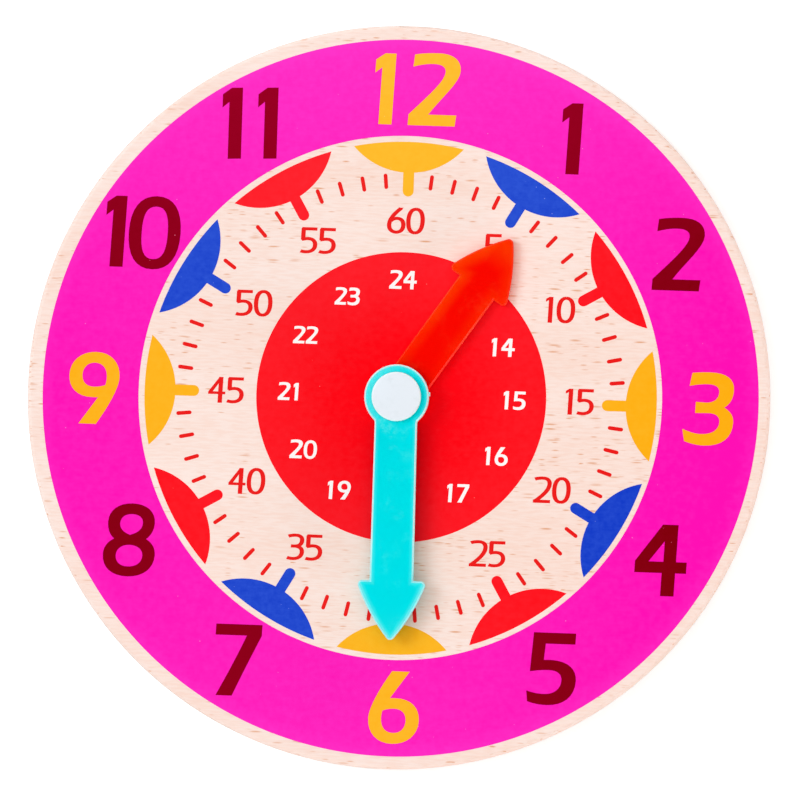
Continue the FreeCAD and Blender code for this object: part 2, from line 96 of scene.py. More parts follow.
class ShaderTree:
    """Adds nodes to a shader tree, one short call for each."""

    def __init__(self, tree: bpy.types.NodeTree) -> None:
        """Keeps the tree that the nodes go into."""
        self.tree = tree

    @classmethod
    def fresh(cls, owner: Union[bpy.types.Material, bpy.types.World]) -> "ShaderTree":
        """Empties the shader tree of a material or a world.

        Args:
            owner: The material or world.

        Returns:
            Its empty tree.
        """
        owner.use_nodes = True
        owner.node_tree.nodes.clear()
        return cls(owner.node_tree)

    def add(self, kind: str, **settings: object) -> bpy.types.Node:
        """Adds a node and sets its options.

        Args:
            kind: Blender's name for the kind of node.
            settings: The node's own options, by name.

        Returns:
            The new node.
        """
        node = self.tree.nodes.new(kind)
        for name, setting in settings.items():
            setattr(node, name, setting)
        return node

    def feed(self, socket: bpy.types.NodeSocket, value: Feed) -> None:
        """Wires a socket to another one, or sets its plain value.

        Args:
            socket: The socket that is fed.
            value: The other socket, or the plain value.
        """
        if isinstance(value, bpy.types.NodeSocket):
            self.tree.links.new(value, socket)
        else:
            socket.default_value = value

    def feed_named(self, node: bpy.types.Node, values: dict[str, Feed]) -> None:
        """Feeds some of a node's sockets by their names."""
        for name, value in values.items():
            self.feed(node.inputs[name], value)

    def fed(self, node: bpy.types.Node, values: Iterable[Feed]) -> bpy.types.NodeSocket:
        """Feeds a node's sockets in their order.

        Args:
            node: The node.
            values: What goes into its first sockets.

        Returns:
            The node's first output.
        """
        for socket, value in zip(node.inputs, values):
            self.feed(socket, value)
        return node.outputs[0]

    def math(self, operation: str, *values: Feed, clamp: bool = False) -> bpy.types.NodeSocket:
        """Works out one number from others.

        Args:
            operation: Blender's name for the sum.
            values: The numbers that go in.
            clamp: Whether to keep the result from 0 to 1.

        Returns:
            The socket that holds the result.
        """
        return self.fed(self.add("ShaderNodeMath", operation=operation, use_clamp=clamp), values)

    def vector(self, operation: str, *values: Feed) -> bpy.types.NodeSocket:
        """Works out one vector from others, by Blender's name for the sum."""
        return self.fed(self.add("ShaderNodeVectorMath", operation=operation), values)

    def split(self, vector: Feed) -> tuple[bpy.types.NodeSocket, ...]:
        """Gives the X, Y and Z of a vector."""
        node = self.add("ShaderNodeSeparateXYZ")
        self.feed(node.inputs[0], vector)
        return tuple(node.outputs)

    def rest_of(self, share: Feed) -> bpy.types.NodeSocket:
        """Gives what a share leaves of 1."""
        return self.math("SUBTRACT", 1.0, share)

    def dimmed(self, value: Feed, mask: Feed, share: float) -> bpy.types.NodeSocket:
        """Takes a share of a value away where a mask is 1."""
        return self.math("MULTIPLY", value, self.rest_of(self.math("MULTIPLY", mask, share)))

    def distance(self, across: Feed, up: Feed) -> bpy.types.NodeSocket:
        """Gives the length of a line from its reach across and up."""
        squares = (self.math("MULTIPLY", leg, leg) for leg in (across, up))
        return self.math("SQRT", self.math("ADD", *squares))

    def eased(self, value: Feed, low: Feed, high: Feed) -> bpy.types.NodeSocket:
        """Goes smoothly from 0 to 1 while a value goes from low to high."""
        node = self.add("ShaderNodeMapRange", interpolation_type="SMOOTHSTEP")
        return self.fed(node, (value, low, high))

    def mixed(self, factor: Feed, first: Feed, second: Feed) -> bpy.types.NodeSocket:
        """Mixes two colours.

        Args:
            factor: Share of the second colour.
            first: The colour below.
            second: The colour laid over it.

        Returns:
            The mixed colour's socket.
        """
        node = self.add("ShaderNodeMix", data_type="RGBA")
        for name, value in (("Factor_Float", factor), ("A_Color", first), ("B_Color", second)):
            self.feed(next(s for s in node.inputs if s.identifier == name), value)
        return next(s for s in node.outputs if s.identifier == "Result_Color")

    def noise(self, vector: Feed, scale: float = 1.0, detail: float = 2.0) -> bpy.types.NodeSocket:
        """Soft random field from 0 to 1."""
        node = self.add("ShaderNodeTexNoise")
        self.feed_named(node, {"Vector": vector, "Scale": scale, "Detail": detail})
        return node.outputs["Fac"]

    def cells(self, vector: Feed) -> tuple[bpy.types.NodeSocket, bpy.types.NodeSocket]:
        """Random points, one in each unit cell.

        Args:
            vector: Where the surface is, in cells.

        Returns:
            The distance to the nearest point, and a random number that belongs to that point.
        """
        node = self.add("ShaderNodeTexVoronoi")
        self.feed_named(node, {"Vector": vector, "Scale": 1.0})
        chance = self.fed(self.add("ShaderNodeSeparateColor"), (node.outputs["Color"],))
        return node.outputs["Distance"], chance

    def place_mm(self) -> bpy.types.NodeSocket:
        """Place on the piece in millimetres, which moves with the piece."""
        return self.vector("MULTIPLY", self.add("ShaderNodeTexCoord").outputs["Object"], (1 / MM,) * 3)

    def seen_rays(self) -> bpy.types.NodeSocket:
        """Tells the rays that show the surroundings from those that light the clock.

        Returns:
            The socket that is 1 for the first kind and 0 for the other.
        """
        path = self.add("ShaderNodeLightPath")
        names = ("Is Camera Ray", "Is Glossy Ray", "Is Transmission Ray")
        camera, glossy, through = (path.outputs[name] for name in names)
        return self.math("MAXIMUM", camera, self.math("MAXIMUM", glossy, through))


class EffectGroup(ABC):
    """A surface effect that several finishes share, made once as a node group."""

    title: ClassVar[str]
    takes: ClassVar[dict[str, tuple[str, float]]]
    gives: ClassVar[dict[str, str]]

    @abstractmethod
    def draw(self, tree: ShaderTree, taken: bpy.types.Node, given: bpy.types.Node) -> None:
        """Draws the effect between the group's inputs and outputs.

        Args:
            tree: The group's tree.
            taken: The node that holds the group's inputs.
            given: The node that holds the group's outputs.
        """

    def node(self, tree: ShaderTree, **values: Feed) -> bpy.types.Node:
        """Places the effect in a finish.

        Args:
            tree: The finish's tree.
            values: The effect's inputs, by name.

        Returns:
            The group's node, whose outputs the finish reads.
        """
        group = bpy.data.node_groups.get(self.title) or self._make()
        node = tree.add("ShaderNodeGroup", node_tree=group)
        tree.feed_named(node, values)
        return node

    def _make(self) -> bpy.types.NodeTree:
        """Makes the node group with its named inputs and outputs.

        Returns:
            The group.
        """
        group = bpy.data.node_groups.new(self.title, "ShaderNodeTree")
        for name, (kind, start) in self.takes.items():
            socket = group.interface.new_socket(name, in_out="INPUT", socket_type=f"NodeSocket{kind}")
            if kind == "Float":
                socket.default_value = start
        for name, kind in self.gives.items():
            group.interface.new_socket(name, in_out="OUTPUT", socket_type=f"NodeSocket{kind}")
        tree = ShaderTree(group)
        self.draw(tree, tree.add("NodeGroupInput"), tree.add("NodeGroupOutput"))
        return group


class WoodFibre(EffectGroup):
    """The calm long waves of beech, and the fine fibres that wander along X."""

    title = "Wood Fibre"
    takes = {"Place": ("Vector", 0.0)}
    gives = {"Wave": "Float", "Fibre": "Float", "Bent": "Vector"}
    waves_per_mm: ClassVar[Triple] = (0.012, 0.11, 0.11)
    fibres_per_mm: ClassVar[Triple] = (0.3, 2.2, 2.2)
    bend: ClassVar[float] = 2.6

    def draw(self, tree: ShaderTree, taken: bpy.types.Node, given: bpy.types.Node) -> None:
        """Draws both fields, from 0 to 1. Bent is the place that follows the bending fibres.

        Args:
            tree: The group's tree.
            taken: The node that holds the group's inputs.
            given: The node that holds the group's outputs.
        """
        place = taken.outputs["Place"]
        wave = tree.noise(tree.vector("MULTIPLY", place, self.waves_per_mm), detail=3.0)
        aside = tree.add("ShaderNodeCombineXYZ")
        tree.feed(aside.inputs["Y"], tree.math("MULTIPLY", wave, self.bend))
        bent = tree.vector("ADD", place, aside.outputs[0])
        fibre = tree.noise(tree.vector("MULTIPLY", bent, self.fibres_per_mm))
        tree.feed_named(given, {"Wave": wave, "Fibre": fibre, "Bent": bent})


class RayFlecks(EffectGroup):
    """The short brown dashes that rays make in beech cut along the grain."""

    title = "Ray Flecks"
    takes = {"Place": ("Vector", 0.0), "Share": ("Float", 0.2)}
    gives = {"Fleck": "Float"}
    # Length and width of the cells that may hold a dash, and how far these cells are moved.
    sizes: ClassVar[tuple[Triple, ...]] = ((4.4, 0.62, 0.0), (2.6, 0.42, 31.7))
    core_and_end: ClassVar[Range] = (0.08, 0.4)
    crowds_per_mm: ClassVar[Triple] = (0.03, 0.07, 0.07)
    crowd_band: ClassVar[Range] = (0.3, 0.7)
    fewest: ClassVar[float] = 0.05
    crowding: ClassVar[float] = 1.9

    def draw(self, tree: ShaderTree, taken: bpy.types.Node, given: bpy.types.Node) -> None:
        """Draws two sizes of dash. Share is how many cells hold one, on average.

        Args:
            tree: The group's tree.
            taken: The node that holds the group's inputs.
            given: The node that holds the group's outputs.
        """
        place = taken.outputs["Place"]
        cloud = tree.noise(tree.vector("MULTIPLY", place, self.crowds_per_mm))
        crowd = tree.eased(cloud, *self.crowd_band)
        crowd = tree.math("MULTIPLY_ADD", crowd, self.crowding, self.fewest)
        share = tree.math("MULTIPLY", taken.outputs["Share"], crowd)
        dashes: list[bpy.types.NodeSocket] = []
        for length, width, shift in self.sizes:
            cells_per_mm = (1 / length, 1 / width, 1 / width)
            distance, chance = tree.cells(tree.vector("MULTIPLY_ADD", place, cells_per_mm, (shift,) * 3))
            depth = tree.math("SUBTRACT", 1.0, tree.math("DIVIDE", chance, share), clamp=True)
            shape = tree.rest_of(tree.eased(distance, *self.core_and_end))
            dashes.append(tree.math("MULTIPLY", depth, shape))
        tree.feed(given.inputs["Fleck"], tree.math("MAXIMUM", *dashes))


class InkLay(EffectGroup):
    """Painted sheen and shade on the inks: paler towards the twelve and the left, and deeper in the middle
    under the hands.
    """

    title = "Ink Sheen And Shade"
    takes = {"Place": ("Vector", 0.0)}
    gives = {"Thin": "Float"}
    reach: ClassVar[float] = 72.0
    rim_band: ClassVar[Range] = (0.955, 1.015)
    middle_band: ClassVar[Range] = (0.1, 0.4)
    # How much each part adds to the paleness: three parts paint the sheen, paler towards the twelve and the
    # left; the rim part pales the ring's outer edge; the middle part paints shade.
    even: ClassVar[float] = 0.35
    ends: ClassVar[float] = 0.29
    start: ClassVar[float] = 0.18
    left: ClassVar[float] = 0.11
    rim: ClassVar[float] = 0.3
    middle: ClassVar[float] = 0.35

    def draw(self, tree: ShaderTree, taken: bpy.types.Node, given: bpy.types.Node) -> None:
        """Draws the paleness over the dial, from 0 to about 1: painted sheen, strongest at the twelve and
        the left, and painted shade in the middle.

        Args:
            tree: The group's tree.
            taken: The node that holds the group's inputs.
            given: The node that holds the group's outputs.
        """
        across, up, _ = tree.split(tree.vector("MULTIPLY", taken.outputs["Place"], (1 / self.reach,) * 3))
        radius = tree.distance(across, up)
        sideways = tree.math("MULTIPLY", across, across)
        saddle_field = tree.math("SUBTRACT", tree.math("MULTIPLY", up, up), sideways)
        # Painted sheen from the first three parts, and painted shade about the middle from the last.
        causes = (
            (saddle_field, self.ends),
            (up, self.start),
            (across, -self.left),
            (tree.eased(radius, *self.rim_band), self.rim),
            (tree.eased(radius, *self.middle_band), self.middle),
        )
        thin: Feed = self.even - self.middle
        for field, share in causes:
            thin = tree.math("MULTIPLY_ADD", field, share, thin)
        tree.feed(given.inputs["Thin"], thin)


class DustSpecks(EffectGroup):
    """Tiny round specks, scattered thinly over a surface."""

    title = "Dust Specks"
    takes = {
        "Place": ("Vector", 0.0),
        "Spacing": ("Float", 2.0),
        "Share": ("Float", 0.2),
        "Radius": ("Float", 0.09),
    }
    gives = {"Speck": "Float"}
    smallest: ClassVar[float] = 0.5
    core: ClassVar[float] = 0.6

    def draw(self, tree: ShaderTree, taken: bpy.types.Node, given: bpy.types.Node) -> None:
        """Draws the specks. Spacing and Radius are in millimetres, and Share is how many cells hold one.

        Args:
            tree: The group's tree.
            taken: The node that holds the group's inputs.
            given: The node that holds the group's outputs.
        """
        place, spacing, share, radius = (taken.outputs[name] for name in self.takes)
        distance, chance = tree.cells(tree.vector("DIVIDE", place, spacing))
        kept = tree.math("LESS_THAN", chance, share)
        growth = tree.math("ADD", self.smallest, tree.math("DIVIDE", chance, share))
        size = tree.math("MULTIPLY", radius, growth)
        core = tree.math("MULTIPLY", size, self.core)
        round_speck = tree.rest_of(tree.eased(tree.math("MULTIPLY", distance, spacing), core, size))
        tree.feed(given.inputs["Speck"], tree.math("MULTIPLY", kept, round_speck))


class HandlingMarks(EffectGroup):
    """Faint rub marks and an uneven shine, as on a thing that many hands have held."""

    title = "Handling Marks"
    takes = {"Place": ("Vector", 0.0), "Reach": ("Float", 4.0)}
    gives = {"Rub": "Float", "Shine": "Float", "Height": "Float"}
    marks_per_mm: ClassVar[float] = 1.2
    rubbed_patch: ClassVar[Range] = (0.48, 0.72)
    rubbed_mark: ClassVar[Range] = (0.35, 0.7)

    def draw(self, tree: ShaderTree, taken: bpy.types.Node, given: bpy.types.Node) -> None:
        """Draws the marks. Reach is the size of a patch in millimetres, and Shine goes about 0.

        Args:
            tree: The group's tree.
            taken: The node that holds the group's inputs.
            given: The node that holds the group's outputs.
        """
        place = taken.outputs["Place"]
        cloud = tree.noise(tree.vector("DIVIDE", place, taken.outputs["Reach"]), detail=4.0)
        fine = tree.noise(place, self.marks_per_mm, detail=3.0)
        masks = (tree.eased(cloud, *self.rubbed_patch), tree.eased(fine, *self.rubbed_mark))
        rub = tree.math("MULTIPLY", *masks)
        shine = tree.math("SUBTRACT", cloud, 0.5)
        tree.feed_named(given, {"Rub": rub, "Shine": shine, "Height": fine})


# ---------------------------------------------------------------------------------------------
# Finishes
# ---------------------------------------------------------------------------------------------


@dataclass(frozen=True)
class Finish(ABC):
    """A material that belongs to one kind of surface."""

    title: str
    roughness: ClassVar[float] = 0.5
    unevenness: ClassVar[float] = 0.0
    shine: ClassVar[float] = 0.0
    relief: ClassVar[float] = 0.0

    def material(self) -> bpy.types.Material:
        """Gives the finish's material, and makes it the first time.

        Returns:
            The one material of this title.
        """
        known = bpy.data.materials.get(self.title)
        if known is not None:
            return known
        material = bpy.data.materials.new(self.title)
        tree = ShaderTree.fresh(material)
        shader = tree.add("ShaderNodeBsdfPrincipled")
        output = tree.add("ShaderNodeOutputMaterial")
        tree.feed(output.inputs["Surface"], shader.outputs["BSDF"])
        tree.feed(shader.inputs["Specular IOR Level"], self.shine)
        self.paint(tree, shader)
        return material

    @abstractmethod
    def paint(self, tree: ShaderTree, shader: bpy.types.Node) -> None:
        """Feeds the shader's sockets.

        Args:
            tree: The finish's tree.
            shader: The shader.
        """

    @staticmethod
    def steep(tree: ShaderTree, steepest: float, flattest: float) -> bpy.types.NodeSocket:
        """Marks the faces that lean away from level.

        Args:
            tree: The finish's tree.
            steepest: The height of a face's unit normal from which it counts less than fully.
            flattest: The height from which it doesn't count.

        Returns:
            The socket of the mark, from 0 to 1.
        """
        _, _, upward = tree.split(tree.add("ShaderNodeTexCoord").outputs["Normal"])
        return tree.rest_of(tree.eased(tree.math("ABSOLUTE", upward), steepest, flattest))

    def wear(self, tree: ShaderTree, shader: bpy.types.Node, uneven: Feed, height: Feed) -> None:
        """Roughens and raises the surface.

        Args:
            tree: The finish's tree.
            shader: The shader whose roughness and normal are fed.
            uneven: The field that changes the roughness over the surface.
            height: The field that raises it, from 0 to 1. At 1 it stands as high as the relief.
        """
        roughness = tree.math("MULTIPLY_ADD", uneven, self.unevenness, self.roughness)
        bump = tree.add("ShaderNodeBump")
        tree.feed_named(bump, {"Strength": 1.0, "Distance": self.relief * MM, "Height": height})
        tree.feed_named(shader, {"Roughness": roughness, "Normal": bump.outputs["Normal"]})


@dataclass(frozen=True)
class BeechPly(Finish):
    """Sanded beech plywood under a thin matt lacquer, with its plies showing on the edge."""

    title: str = "Beech Plywood"
    face: Mix = (253, 234, 226)
    deep: Mix = (249, 218, 204)
    fleck: Mix = (226, 158, 114)
    fleck_share: float = 0.22
    core: Mix = (226, 188, 156)
    end_grain_per_mm: Triple = (2.6, 2.6, 0.5)
    glue: Mix = (186, 142, 108)
    glue_lines: tuple[float, ...] = (0.9, 1.95, 3.05, 4.1)
    glue_width: float = 0.07
    glue_share: float = 0.8
    patch: float = 14.0
    wave_band: ClassVar[Range] = (0.3, 0.75)
    fibre_band: ClassVar[Range] = (0.36, 0.66)
    grain_band: ClassVar[Range] = (0.3, 0.7)
    edge_band: ClassVar[Range] = (0.2, 0.5)
    roughness: ClassVar[float] = 0.55
    unevenness: ClassVar[float] = 0.25
    shine: ClassVar[float] = 0.3
    relief: ClassVar[float] = 0.016

    def paint(self, tree: ShaderTree, shader: bpy.types.Node) -> None:
        """Lays grain on the faces, and plies by height on the edge.

        Args:
            tree: The finish's tree.
            shader: The shader.
        """
        place = tree.place_mm()
        fibre = WoodFibre().node(tree, Place=place)
        face = self.face_colour(tree, fibre)
        edge = self.edge_colour(tree, place, face)
        upright = self.steep(tree, *self.edge_band)
        tree.feed(shader.inputs["Base Color"], tree.mixed(upright, face, edge))
        marks = HandlingMarks().node(tree, Place=place, Reach=self.patch)
        self.wear(tree, shader, marks.outputs["Shine"], fibre.outputs["Fibre"])

    def face_colour(self, tree: ShaderTree, fibre: bpy.types.Node) -> bpy.types.NodeSocket:
        """Mixes the colour along the grain, with flecks in it.

        Args:
            tree: The finish's tree.
            fibre: The node of the wood's fibres.

        Returns:
            The colour's socket.
        """
        waves = tree.eased(fibre.outputs["Wave"], *self.wave_band)
        fibres = tree.eased(fibre.outputs["Fibre"], *self.fibre_band)
        tone = tree.math("MULTIPLY", tree.math("ADD", waves, fibres), 0.5)
        colour = tree.mixed(tone, screen_colour(self.face), screen_colour(self.deep))
        flecks = RayFlecks().node(tree, Place=fibre.outputs["Bent"], Share=self.fleck_share)
        return tree.mixed(flecks.outputs["Fleck"], colour, screen_colour(self.fleck))

    def edge_colour(self, tree: ShaderTree, place: Feed, face: Feed) -> bpy.types.NodeSocket:
        """Mixes the colour of the plies, every second of which shows its end grain.

        Args:
            tree: The finish's tree.
            place: Place on the board, in millimetres.
            face: The colour along the grain.

        Returns:
            The colour's socket.
        """
        _, _, level = tree.split(place)
        cross_plies: Feed = 0.0
        glue: Feed = 0.0
        for index, line in enumerate(self.glue_lines):
            change = "SUBTRACT" if index % 2 else "ADD"
            cross_plies = tree.math(change, cross_plies, tree.math("GREATER_THAN", level, line))
            glue = tree.math("MAXIMUM", glue, tree.math("COMPARE", level, line, self.glue_width / 2))
        grain = tree.noise(tree.vector("MULTIPLY", place, self.end_grain_per_mm), detail=3.0)
        grain = tree.eased(grain, *self.grain_band)
        core = tree.mixed(grain, screen_colour(self.core), screen_colour(self.deep))
        plies = tree.mixed(cross_plies, face, core)
        return tree.mixed(tree.math("MULTIPLY", glue, self.glue_share), plies, screen_colour(self.glue))


@dataclass(frozen=True)
class Ink(Finish):
    """Screen-printed ink: flat, nearly matt, with the wood's fibres faintly under it and dust in it."""

    # thick is the ink's full colour; thin is the paler one, mixed in by the painted sheen and the print's
    # mottle.
    thick: Mix
    thin: Mix
    mottle: float
    speck: Mix
    speck_share: float
    clouds: ClassVar[float] = 1.6
    cloud_size: ClassVar[float] = 1.1
    fibres: ClassVar[float] = 0.5
    speck_spacing: ClassVar[float] = 1.6
    speck_radius: ClassVar[float] = 0.085
    speck_strength: ClassVar[float] = 0.75
    roughness: ClassVar[float] = 0.6
    unevenness: ClassVar[float] = 0.2
    shine: ClassVar[float] = 0.12
    relief: ClassVar[float] = 0.006

    def paint(self, tree: ShaderTree, shader: bpy.types.Node) -> None:
        """Lays the colour, paler under the painted sheen and deeper under the painted shade, with faint
        clouds, fibres and specks.

        Args:
            tree: The finish's tree.
            shader: The shader.
        """
        place = tree.place_mm()
        lay = InkLay().node(tree, Place=place).outputs["Thin"]
        fibre = WoodFibre().node(tree, Place=place).outputs["Fibre"]
        cloud = HandlingMarks().node(tree, Place=place, Reach=self.cloud_size).outputs["Shine"]
        specks = DustSpecks().node(
            tree,
            Place=place,
            Spacing=self.speck_spacing,
            Share=self.speck_share,
            Radius=self.speck_radius,
        )
        # Painted sheen and shade, with the print's clouds and the wood's fibres laid over them.
        clouded = tree.math("MULTIPLY_ADD", cloud, self.clouds * self.mottle, lay)
        about_fibre = tree.math("SUBTRACT", fibre, 0.5)
        sheen_and_mottle = tree.math("MULTIPLY_ADD", about_fibre, self.fibres * self.mottle, clouded, clamp=True)
        thick = screen_colour(self.thick)
        colour = tree.mixed(sheen_and_mottle, thick, screen_colour(self.thin))
        dust = tree.math("MULTIPLY", specks.outputs["Speck"], self.speck_strength)
        colour = tree.mixed(dust, colour, screen_colour(self.speck))
        tree.feed_named(shader, {"Base Color": colour, "Specular Tint": thick})
        self.wear(tree, shader, cloud, fibre)


@dataclass(frozen=True)
class Spot:
    """Where a place lies on a hand: sockets that hold millimetres."""

    side: bpy.types.NodeSocket
    along: bpy.types.NodeSocket
    into_head: bpy.types.NodeSocket
    inset: bpy.types.NodeSocket


@dataclass(frozen=True)
class TintedPlastic(Finish):
    """Tinted plastic that lets light wander inside it, with painted light in its colour: a glow towards its
    edges, highlights on its bevels and on one side of its hub ring.
    """

    heart: Mix
    # glow is a painted glow of light through the plastic; rim is a painted highlight on the bevels.
    glow: Mix
    rim: Mix
    # scuff colours the real rub marks, and the painted highlight on one side of the hub ring.
    scuff: Mix
    clockwise: float
    root_width: float
    head_base: float
    wander: Triple
    scuff_share: float
    # Sizes of the outline that both hands share.
    head_length: float = 11.9
    head_width: float = 13.5
    side_radius: float = 40.0
    hub_radius: float = 6.5
    # How strong each effect is on this hand: the painted glow and highlights, and the real scuffs.
    rim_width: float = 0.5
    rim_share: float = 0.3
    rim_fade: float = 0.0
    ring_wear: float = 0.0
    cap_scuff_share: float = 0.0
    glow_depth: float = 3.0
    glow_loss: float = 0.0
    tip_glow: float = 1.0
    # Heights of a face's unit normal between which it stops being a bevel, or a wall.
    bevel_band: ClassVar[Range] = (0.75, 0.95)
    wall_band: ClassVar[Range] = (0.2, 0.45)
    # Where the effects begin and end on a hand, in millimetres from the axle, the middle line, the
    # arrowhead's back corners or the outline.
    hub_glow: ClassVar[Range] = (9.0, 22.0)
    cap_scuff: ClassVar[Range] = (7.0, 14.0)
    ring_end: ClassVar[float] = 7.0
    ring_side: ClassVar[Range] = (-3.5, 5.5)
    head_fade: ClassVar[Range] = (-9.0, 1.0)
    stub_half: ClassVar[float] = 1.5
    stub_inset: ClassVar[Range] = (-0.15, -0.05)
    tip_start: ClassVar[float] = 0.35
    patch: ClassVar[float] = 5.0
    even_glow: ClassVar[float] = 0.75
    scatter: ClassVar[float] = 0.55
    wander_depth: ClassVar[float] = 1.4
    roughness: ClassVar[float] = 0.28
    unevenness: ClassVar[float] = 0.3
    shine: ClassVar[float] = 0.32
    relief: ClassVar[float] = 0.004

    def arrow_inset(
        self, tree: ShaderTree, across: Feed, along: Feed, into_head: Feed
    ) -> bpy.types.NodeSocket:
        """Gives how far inside the blade or the arrowhead a place is.

        Args:
            tree: The finish's tree.
            across: Distance from the hand's middle line.
            along: Distance from the axle towards the tip.
            into_head: Distance past the arrowhead's back corners.

        Returns:
            The socket of that distance, in millimetres. It is below 0 outside.
        """
        half_width = self.head_width / 2
        chord = math.hypot(half_width, self.head_length)
        fall = math.sqrt(self.side_radius**2 - chord**2 / 4)
        bow_across = half_width / 2 - fall * self.head_length / chord
        bow_along = self.head_length / 2 - fall * half_width / chord
        from_bow = tree.distance(
            tree.math("SUBTRACT", across, bow_across),
            tree.math("SUBTRACT", into_head, bow_along),
        )
        head = tree.math("MINIMUM", into_head, tree.math("SUBTRACT", self.side_radius, from_bow))
        before_end = tree.math("SUBTRACT", self.head_length / 2, into_head)
        blade = tree.math("MINIMUM", tree.math("SUBTRACT", self.root_width / 2, across), before_end)
        return tree.math("MAXIMUM", head, tree.math("MINIMUM", blade, along))

    def locate(self, tree: ShaderTree, place: Feed) -> Spot:
        """Works out where on the hand a place lies.

        Args:
            tree: The finish's tree.
            place: Place on the piece, in millimetres.

        Returns:
            The sockets of the place.
        """
        turn = tree.add("ShaderNodeVectorRotate", rotation_type="Z_AXIS")
        tree.feed_named(turn, {"Vector": place, "Angle": math.radians(self.clockwise)})
        side, along, _ = tree.split(turn.outputs[0])
        into_head = tree.math("SUBTRACT", along, self.head_base)
        in_hub = tree.math("SUBTRACT", self.hub_radius, tree.distance(side, along))
        in_arrow = self.arrow_inset(tree, tree.math("ABSOLUTE", side), along, into_head)
        return Spot(side, along, into_head, tree.math("MAXIMUM", in_hub, in_arrow))

    def inner_glow(self, tree: ShaderTree, spot: Spot, by_hub: Feed, cloud: Feed) -> bpy.types.NodeSocket:
        """Gives how much painted glow shows, as of light inside the plastic, near the outline and the tip.

        Args:
            tree: The finish's tree.
            spot: Where the place lies on the hand.
            by_hub: The mask of the blade's end at the hub.
            cloud: The field that makes the glow uneven.

        Returns:
            The glow's socket, from 0 to 1.
        """
        near_edge = tree.rest_of(tree.eased(spot.inset, 0.0, self.glow_depth))
        # Painted shade: less glow on the side away from the light, and near the hub.
        away_from_light = tree.eased(spot.side, -self.root_width / 3, self.root_width / 3)
        for dull in (away_from_light, by_hub):
            near_edge = tree.dimmed(near_edge, dull, self.glow_loss)
        tipwards = tree.eased(spot.into_head, self.head_length * self.tip_start, self.head_length)
        strongest = tree.math("MAXIMUM", near_edge, tree.math("MULTIPLY", tipwards, self.tip_glow))
        return tree.math("MULTIPLY", strongest, tree.math("ADD", self.even_glow, cloud), clamp=True)

    def lit_edge(self, tree: ShaderTree, spot: Spot, by_hub: Feed) -> bpy.types.NodeSocket:
        """Marks the painted highlight on the bevels and along the outline, and the stub of the moulding gate
        beside the hub.

        Args:
            tree: The finish's tree.
            spot: Where the place lies on the hand.
            by_hub: The mask of the blade's end at the hub.

        Returns:
            The mark's socket, from 0 to 1.
        """
        outline = tree.rest_of(tree.eased(spot.inset, self.rim_width / 2, self.rim_width))
        bands = (self.bevel_band, self.wall_band)
        bevels = tree.math("SUBTRACT", *(self.steep(tree, *band) for band in bands))
        edge = tree.math("MAXIMUM", bevels, tree.math("MULTIPLY", outline, self.rim_share))
        # The painted highlight fades towards the head, and near the hub as the glow does.
        edge = tree.dimmed(edge, tree.eased(spot.into_head, *self.head_fade), self.rim_fade)
        edge = tree.dimmed(edge, by_hub, self.glow_loss)
        beside_hub = tree.math("LESS_THAN", tree.math("ABSOLUTE", spot.along), self.stub_half)
        outside = tree.rest_of(tree.eased(spot.inset, *self.stub_inset))
        return tree.math("MAXIMUM", edge, tree.math("MULTIPLY", outside, beside_hub))

    def paint(self, tree: ShaderTree, shader: bpy.types.Node) -> None:
        """Lays the tint with painted light: a painted glow towards the hand's outline, painted highlights on
        its bevels and on one side of the hub ring, then rub marks.

        Args:
            tree: The finish's tree.
            shader: The shader.
        """
        place = tree.place_mm()
        spot = self.locate(tree, place)
        marks = HandlingMarks().node(tree, Place=place, Reach=self.patch)
        heart, scuff = screen_colour(self.heart), screen_colour(self.scuff)
        by_hub = tree.rest_of(tree.eased(spot.along, *self.hub_glow))
        # Painted glow of light through the plastic.
        glowing = self.inner_glow(tree, spot, by_hub, marks.outputs["Shine"])
        colour = tree.mixed(glowing, heart, screen_colour(self.glow))

        # Painted highlight on one side of the hub ring.
        on_ring = tree.rest_of(tree.eased(spot.along, 0.0, self.ring_end))
        lit_ring_side = tree.math("MULTIPLY", on_ring, tree.eased(spot.side, *self.ring_side))
        colour = tree.mixed(tree.math("MULTIPLY", lit_ring_side, self.ring_wear), colour, scuff)
        # Painted highlight on the bevels and the outline.
        colour = tree.mixed(self.lit_edge(tree, spot, by_hub), colour, screen_colour(self.rim))

        by_cap = tree.rest_of(tree.eased(spot.along, *self.cap_scuff))
        worn = tree.math("MULTIPLY_ADD", by_cap, self.cap_scuff_share, self.scuff_share)
        colour = tree.mixed(tree.math("MULTIPLY", marks.outputs["Rub"], worn), colour, scuff)
        values = {
            "Base Color": colour,
            "Specular Tint": heart,
            "Subsurface Weight": self.scatter,
            "Subsurface Radius": self.wander,
            "Subsurface Scale": self.wander_depth * MM,
        }
        tree.feed_named(shader, values)
        self.wear(tree, shader, marks.outputs["Rub"], marks.outputs["Height"])


